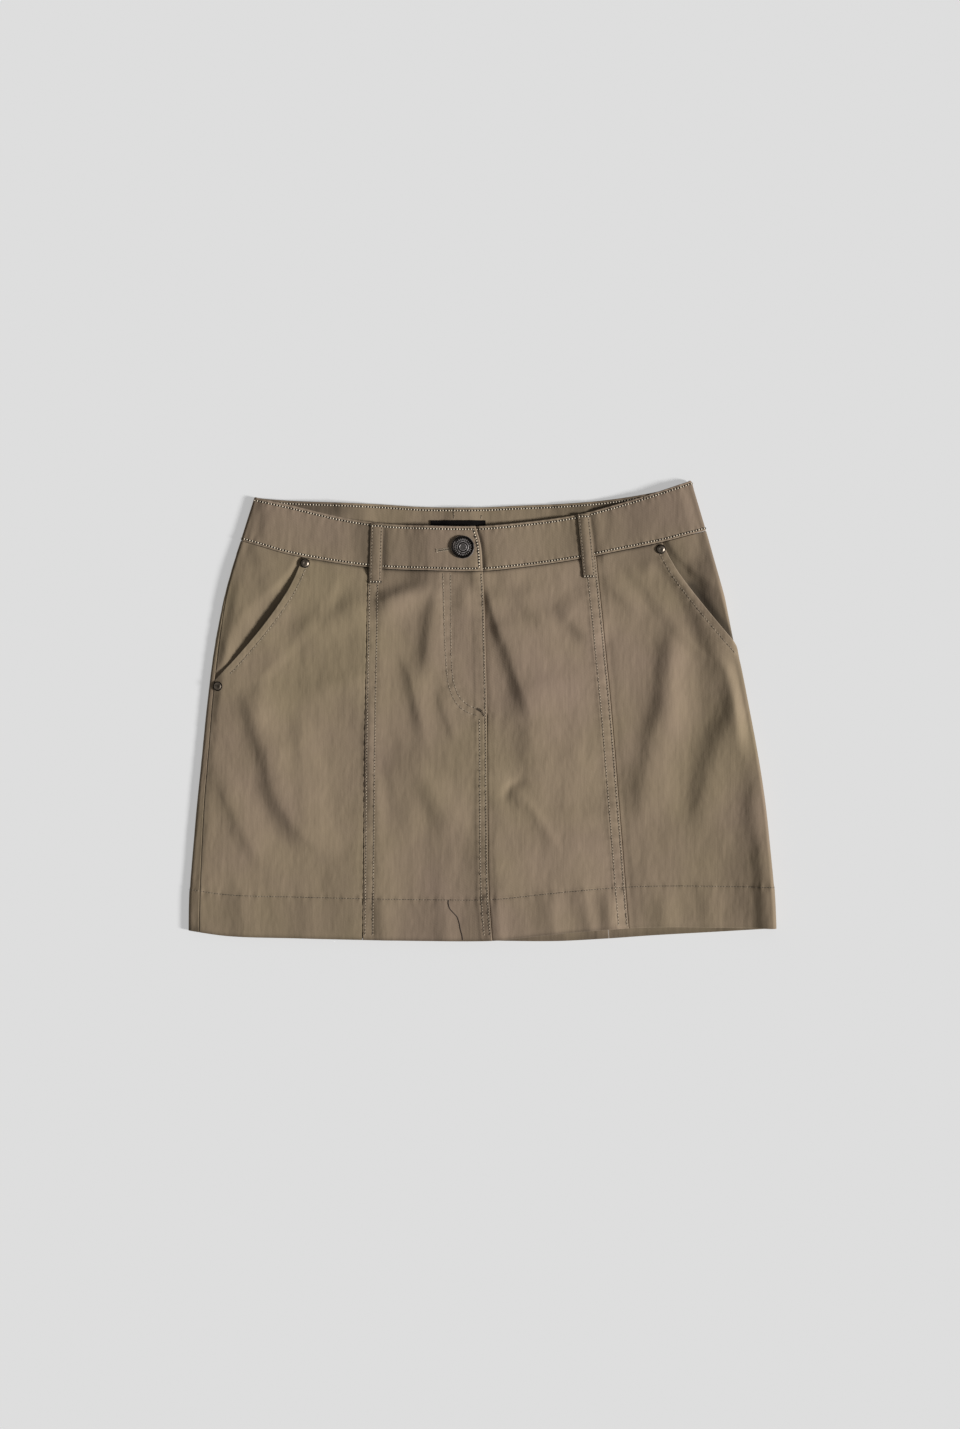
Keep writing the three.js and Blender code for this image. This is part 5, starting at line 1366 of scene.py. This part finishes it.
STITCH_LOW, HOLE_LOW = -0.7 * FLOOR_DROP, -0.5 * FLOOR_DROP  # the skirt's weight presses them flat


def face_outwards(piece):
    only(piece)
    bpy.ops.object.mode_set(mode="EDIT")
    bpy.ops.mesh.select_all(action="SELECT")
    bpy.ops.mesh.normals_make_consistent(inside=False)
    bpy.ops.object.mode_set(mode="OBJECT")


def stitched(name, kind, colour, dark, pitch, fill, radius, hole):
    """All rows of one kind as one piece: its stitches in thread, its holes as dark lozenges of painted
    shade. fill: the share of the pitch that a stitch takes up."""
    points, faces, finishes, count = [], [], [], 0
    for path, face, out in (row[1:] for row in SEWN if row[0] == kind):
        fine, share = np.linspace(0, 1, max(40, len(path) * 3)), np.linspace(0, 1, len(path))
        s, y = np.interp(fine, share, path[:, 0]), np.interp(fine, share, path[:, 1])
        on_cloth = face(s, y)
        walked = np.concatenate([[0], np.cumsum(np.linalg.norm(np.diff(on_cloth, axis=0), axis=1))])
        places = np.arange(pitch / 2, walked[-1] - pitch / 3, pitch)
        places = places + dice.normal(0, pitch * 0.02, len(places))
        s, y = np.interp(places, walked, s), np.interp(places, walked, y)
        middle, step = face(s, y), 0.0004
        before, after = (np.stack([np.interp(places + by, walked, column) for column in on_cloth.T], axis=1)
                         for by in (-step, step))
        across, up_cloth = face(s + step, y) - face(s - step, y), face(s, y + step) - face(s, y - step)
        way, normal = unit(after - before), unit(np.cross(across, up_cloth) * out)
        aside = unit(np.cross(normal, way))
        swing = dice.normal(0, 0.05, len(places))[:, None]
        way, aside = way + swing * aside, aside - swing * way
        half = pitch * fill / 2 * (1 + dice.normal(0, 0.05, len(places)))[:, None]
        rise = radius * (0.35 + dice.normal(0, 0.12, len(places)))[:, None]
        gap = middle + way * (pitch / 2)
        stitches = [middle + way * u * half + aside * v * radius + normal * (w * radius * 0.8 + rise)
                    for u, v, w in STITCH_POINTS]
        holes = [gap + way * u * hole + aside * v * hole + normal * (w * HOLE_DEPTH + HOLE_RISE)
                 for u, v, w in HOLE_POINTS]
        for finish, copies, shapes, low in ((0, stitches, STITCH_FACES, STITCH_LOW),
                                            (1, holes, HOLE_FACES, HOLE_LOW)):
            block = np.stack(copies, axis=1).reshape(-1, 3)
            block[:, 2] = np.maximum(block[:, 2], low)
            base = count + np.arange(len(places))[:, None] * len(copies)
            for shape in shapes:
                faces += (base + np.array(shape)).tolist()
                finishes += [finish] * len(places)
            points.append(block)
            count += len(block)
    piece = new_piece(name, np.concatenate(points), faces,
                      [thread_paint(name + "_thread", colour, dark), needle_hole_shade], np.array(finishes) == 0)
    piece.data.polygons.foreach_set("material_index", finishes)
    face_outwards(piece)


stitched("topstitching_waist", "waist", (0.84, 0.73, 0.56), (0.62, 0.52, 0.39),
         0.0024, 0.52, 0.00058, 0.00090)
stitched("topstitching_seams", "seam", (0.46, 0.38, 0.28), (0.25, 0.20, 0.145),
         0.0025, 0.64, 0.00034, 0.00046)
stitched("topstitching_fly_and_mouths", "mouth", (0.40, 0.33, 0.24), (0.22, 0.176, 0.126),
         0.00275, 0.70, 0.00028, 0.00032)
stitched("topstitching_hem", "hem", (0.33, 0.27, 0.20), (0.15, 0.12, 0.085),
         0.0023, 0.70, 0.00025, 0.00032)
stitched("topstitching_loops", "loop", (0.40, 0.33, 0.24), (0.22, 0.175, 0.126),
         0.00275, 0.70, 0.00025, 0.00042)

# Bar tack and the buttonhole's edging: the same kind of thread in close zigzags, over the end of the
# fly's stitching and round the slit.
TACK_PITCH = 0.00062
TACK_RADIUS = 0.00021
TUBE_SIDES = 6


def thread_tube(name, points, radius, finish):
    """A thread through its points, as a closed tube."""
    way = unit(np.gradient(points, axis=0))
    aside = unit(np.cross(way, (0, 0, 1.0)))
    over = np.cross(aside, way)
    turns = np.arange(TUBE_SIDES) * math.tau / TUBE_SIDES
    rings = points[:, None, :] + radius * (np.cos(turns)[None, :, None] * aside[:, None, :]
                                           + np.sin(turns)[None, :, None] * over[:, None, :])
    index = np.arange(len(points) * TUBE_SIDES).reshape(-1, TUBE_SIDES)
    after = np.roll(index, -1, axis=1)
    walls = np.stack([index[:-1], after[:-1], after[1:], index[1:]], axis=-1).reshape(-1, 4)
    ends = [index[0, ::-1].tolist(), index[-1].tolist()]
    piece = new_piece(name, rings.reshape(-1, 3), walls.tolist() + ends, [finish])
    face_outwards(piece)


def satin(name, path, half_width, face, finish, lift=0.00012):
    """Satin stitches on a face, to and fro across a path."""
    steps = np.concatenate([[0], np.cumsum(np.hypot(*np.diff(path, axis=0).T))])
    far = np.arange(0, steps[-1], TACK_PITCH)
    middle = np.stack([np.interp(far, steps, path[:, 0]), np.interp(far, steps, path[:, 1])], axis=1)
    zigzag = beside(middle, half_width * np.where(np.arange(len(far)) % 2, 1.0, -1.0)[:, None])
    thread = face(zigzag[:, 0], zigzag[:, 1])
    thread[:, 2] += lift
    thread_tube(name, thread, TACK_RADIUS, finish)


tack_thread = thread_paint("tack_thread", (0.22, 0.175, 0.128), (0.13, 0.10, 0.072))
buttonhole_thread = thread_paint("buttonhole_thread", (0.66, 0.56, 0.42), (0.48, 0.39, 0.285))
satin("fly_tack", np.array([(-0.0042, 0.0018), (0.0, -0.0004), (0.0016, -0.0040)]), 0.0010,
      lambda a, b: on_front(a, b, -0.0004, flap_top), tack_thread)

EDGING = 0.00070
turn = np.array([math.cos(HOLE_TURN), math.sin(HOLE_TURN)])
aside = np.array([-turn[1], turn[0]])
hole_start = np.array([BUTTON_X, BUTTON_Y])
hole_end = hole_start - turn * HOLE_LENGTH
bar = hole_end - turn * 0.0004


def band_face(a, b):
    return on_front(a, b, 0.0, band_over_top)


for name, by in (("buttonhole_edge_upper", aside * EDGING), ("buttonhole_edge_lower", -aside * EDGING)):
    satin(name, np.array([hole_start + by, hole_end + by]), 0.00042, band_face, buttonhole_thread)
satin("buttonhole_bar", np.array([bar + aside * 0.0017, bar - aside * 0.0017]), 0.0006, band_face,
      buttonhole_thread, lift=0.00025)

# Waist button: a pressed metal cap with a rolled rim, a ring of plain raised ticks and two raised
# rings round its middle, on a shank that goes through the buttonhole. The stud in the underlap that it goes
# into is not built.
CAP_RINGS = ((0.0024, -0.0018), (0.0024, 0.0003), (0.0085, 0.0003), (0.0092, 0.0004), (0.0094, 0.0007),
             (0.0094, 0.0011), (0.0092, 0.0015), (0.0088, 0.0018), (0.0083, 0.0019), (0.0079, 0.0017),
             (0.0076, 0.0013), (0.0074, 0.0012), (0.0050, 0.0012), (0.0048, 0.0015), (0.0045, 0.0016),
             (0.0042, 0.0015), (0.0040, 0.0011), (0.0033, 0.0011), (0.0031, 0.0014), (0.0028, 0.0015),
             (0.0025, 0.0014), (0.0023, 0.0012), (0.0010, 0.0013))
RUBBED_RINGS = ((0.0090, 0.0093), (0.0043, 0.0048), (0.0026, 0.0031))
WORN_CENTRE = 0.0023
TICKS, TICK_RING, TICK_LEVEL = 24, 0.0062, 0.00125


def turned(name, rings, sides, finish):
    """A round metal piece, raised ring by ring from its lowest one."""
    bpy.ops.object.select_all(action="DESELECT")
    radius, height = rings[0]
    bpy.ops.mesh.primitive_circle_add(vertices=sides, radius=radius, fill_type="NGON",
                                      location=(0, 0, height))
    piece = bpy.context.object
    piece.name = name
    bpy.ops.object.mode_set(mode="EDIT")
    for wider, higher in rings[1:]:
        bpy.ops.mesh.extrude_region_move(TRANSFORM_OT_translate={"value": (0, 0, higher - height)})
        bpy.ops.transform.resize(value=(wider / radius, wider / radius, 1), center_override=(0, 0, higher))
        radius, height = wider, higher
    bpy.ops.object.mode_set(mode="OBJECT")
    face_outwards(piece)
    bpy.ops.object.transform_apply(location=True, rotation=True, scale=True)
    bpy.ops.object.shade_smooth_by_angle(angle=math.radians(38))
    piece.data.materials.append(finish)
    return piece


rubbed_metal = metal("rubbed_metal", (0.36, 0.33, 0.32), 0.40, (0.15, 0.135, 0.125), 0.35)
worn_centre = metal("worn_centre", (0.095, 0.086, 0.080), 0.45, (0.05, 0.045, 0.042), 0.35)
button = turned("waist_button_cap", CAP_RINGS, 72, gunmetal)
button.data.materials.append(rubbed_metal)
button.data.materials.append(worn_centre)
for face in button.data.polygons:
    away = math.hypot(face.center.x, face.center.y)
    if face.normal.z > 0.2 and any(low < away < high for low, high in RUBBED_RINGS):
        face.material_index = 1
    if away < WORN_CENTRE:
        face.material_index = 2
bpy.ops.object.select_all(action="DESELECT")
bpy.ops.mesh.primitive_cube_add(size=1, scale=(0.0015, 0.00062, 0.0006))
tick = bpy.context.object
bpy.ops.object.transform_apply(location=True, rotation=True, scale=True)
bevel = tick.modifiers.new("edges", "BEVEL")
bevel.width = 0.00010
bevel.segments = 2
bpy.ops.object.modifier_apply(modifier="edges")
tick.data.materials.append(rubbed_metal)
ticks = []
for angle in (math.tau * number / TICKS for number in range(TICKS)):
    copy = tick.copy()
    copy.data = tick.data.copy()
    copy.location = (TICK_RING * math.cos(angle), TICK_RING * math.sin(angle), TICK_LEVEL)
    copy.rotation_euler = (0, 0, angle)
    bpy.context.collection.objects.link(copy)
    ticks.append(copy)
bpy.data.objects.remove(tick)
only(*ticks, button)
bpy.ops.object.join()
bpy.ops.transform.translate(value=(BUTTON_X, BUTTON_Y, seat))
bpy.ops.object.transform_apply(location=True, rotation=True, scale=True)
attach(button, "root")
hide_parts("waist_button")

# Pocket rivets: a small domed brass cap with a flat flange, on a post through the corner of each
# mouth. The low right one is underneath, where the right side seam lies.
RIVET_RINGS = ((0.0015, -0.0026), (0.0015, 0.0004), (0.0036, 0.0004), (0.0039, 0.0005), (0.0039, 0.0007),
               (0.0036, 0.0008), (0.0031, 0.0008), (0.0029, 0.00095), (0.0026, 0.0013), (0.0020, 0.00155),
               (0.0013, 0.00165), (0.0011, 0.00155), (0.0004, 0.00150))
RIVET_DOME = 0.0030
rivet = turned("rivet", RIVET_RINGS, 36, brass)
rivet.data.materials.append(gunmetal)
for face in rivet.data.polygons:
    face.material_index = int(math.hypot(face.center.x, face.center.y) > RIVET_DOME)


def rivet_at(name, place, tilt):
    copy = rivet.copy()
    copy.data = rivet.data.copy()
    copy.name = name + "_cap"
    bpy.context.collection.objects.link(copy)
    copy.location, copy.rotation_euler = place, tilt
    only(copy)
    bpy.ops.object.transform_apply(location=True, rotation=True, scale=True)
    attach(copy, "root")
    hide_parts(name)


for name, x, y, top in (("rivet_top_left", -0.1452, 0.1209, left_side_top),
                        ("rivet_low_left", *LOW_RIVET, left_side_top),
                        ("rivet_top_right", 0.1460, 0.1324, right_side_top)):
    reach = 0.003
    slope_x = float(top(x + reach, y) - top(x - reach, y)) / (2 * reach)
    slope_y = float(top(x, y + reach) - top(x, y - reach)) / (2 * reach)
    rivet_at(name, (x, y, float(top(x, y))), (math.atan(slope_y), -math.atan(slope_x), 0))
rivet_at("rivet_low_right", (LOW_RIVET_UNDER_X, LOW_RIVET_UNDER_LEVEL, RIVET_LIFT), (math.pi, 0, 0))
bpy.data.objects.remove(rivet)

# Loose thread: an end of thin brown sewing thread. It hangs from the hem's stitches and lies on the
# cloth below them.
LOOSE_END = ((-27.6, -154.6), (-27.8, -157.4), (-26.6, -161.6), (-23.4, -165.4), (-20.6, -168.6),
             (-18.9, -173.4), (-18.0, -178.4), (-16.6, -183.4), (-16.1, -187.4))
LOOSE_RADIUS = 0.00028
brown_thread = thread_paint("brown_thread", (0.045, 0.028, 0.018), (0.025, 0.016, 0.011))
loose = smooth_path(LOOSE_END)
height = flap_top(loose[:, 0], loose[:, 1]) + 0.00045
height[:3] -= (0.0006, 0.0004, 0.0002)  # it comes out of the cloth
thread_tube("loose_thread", np.column_stack([loose, height]), LOOSE_RADIUS, brown_thread)
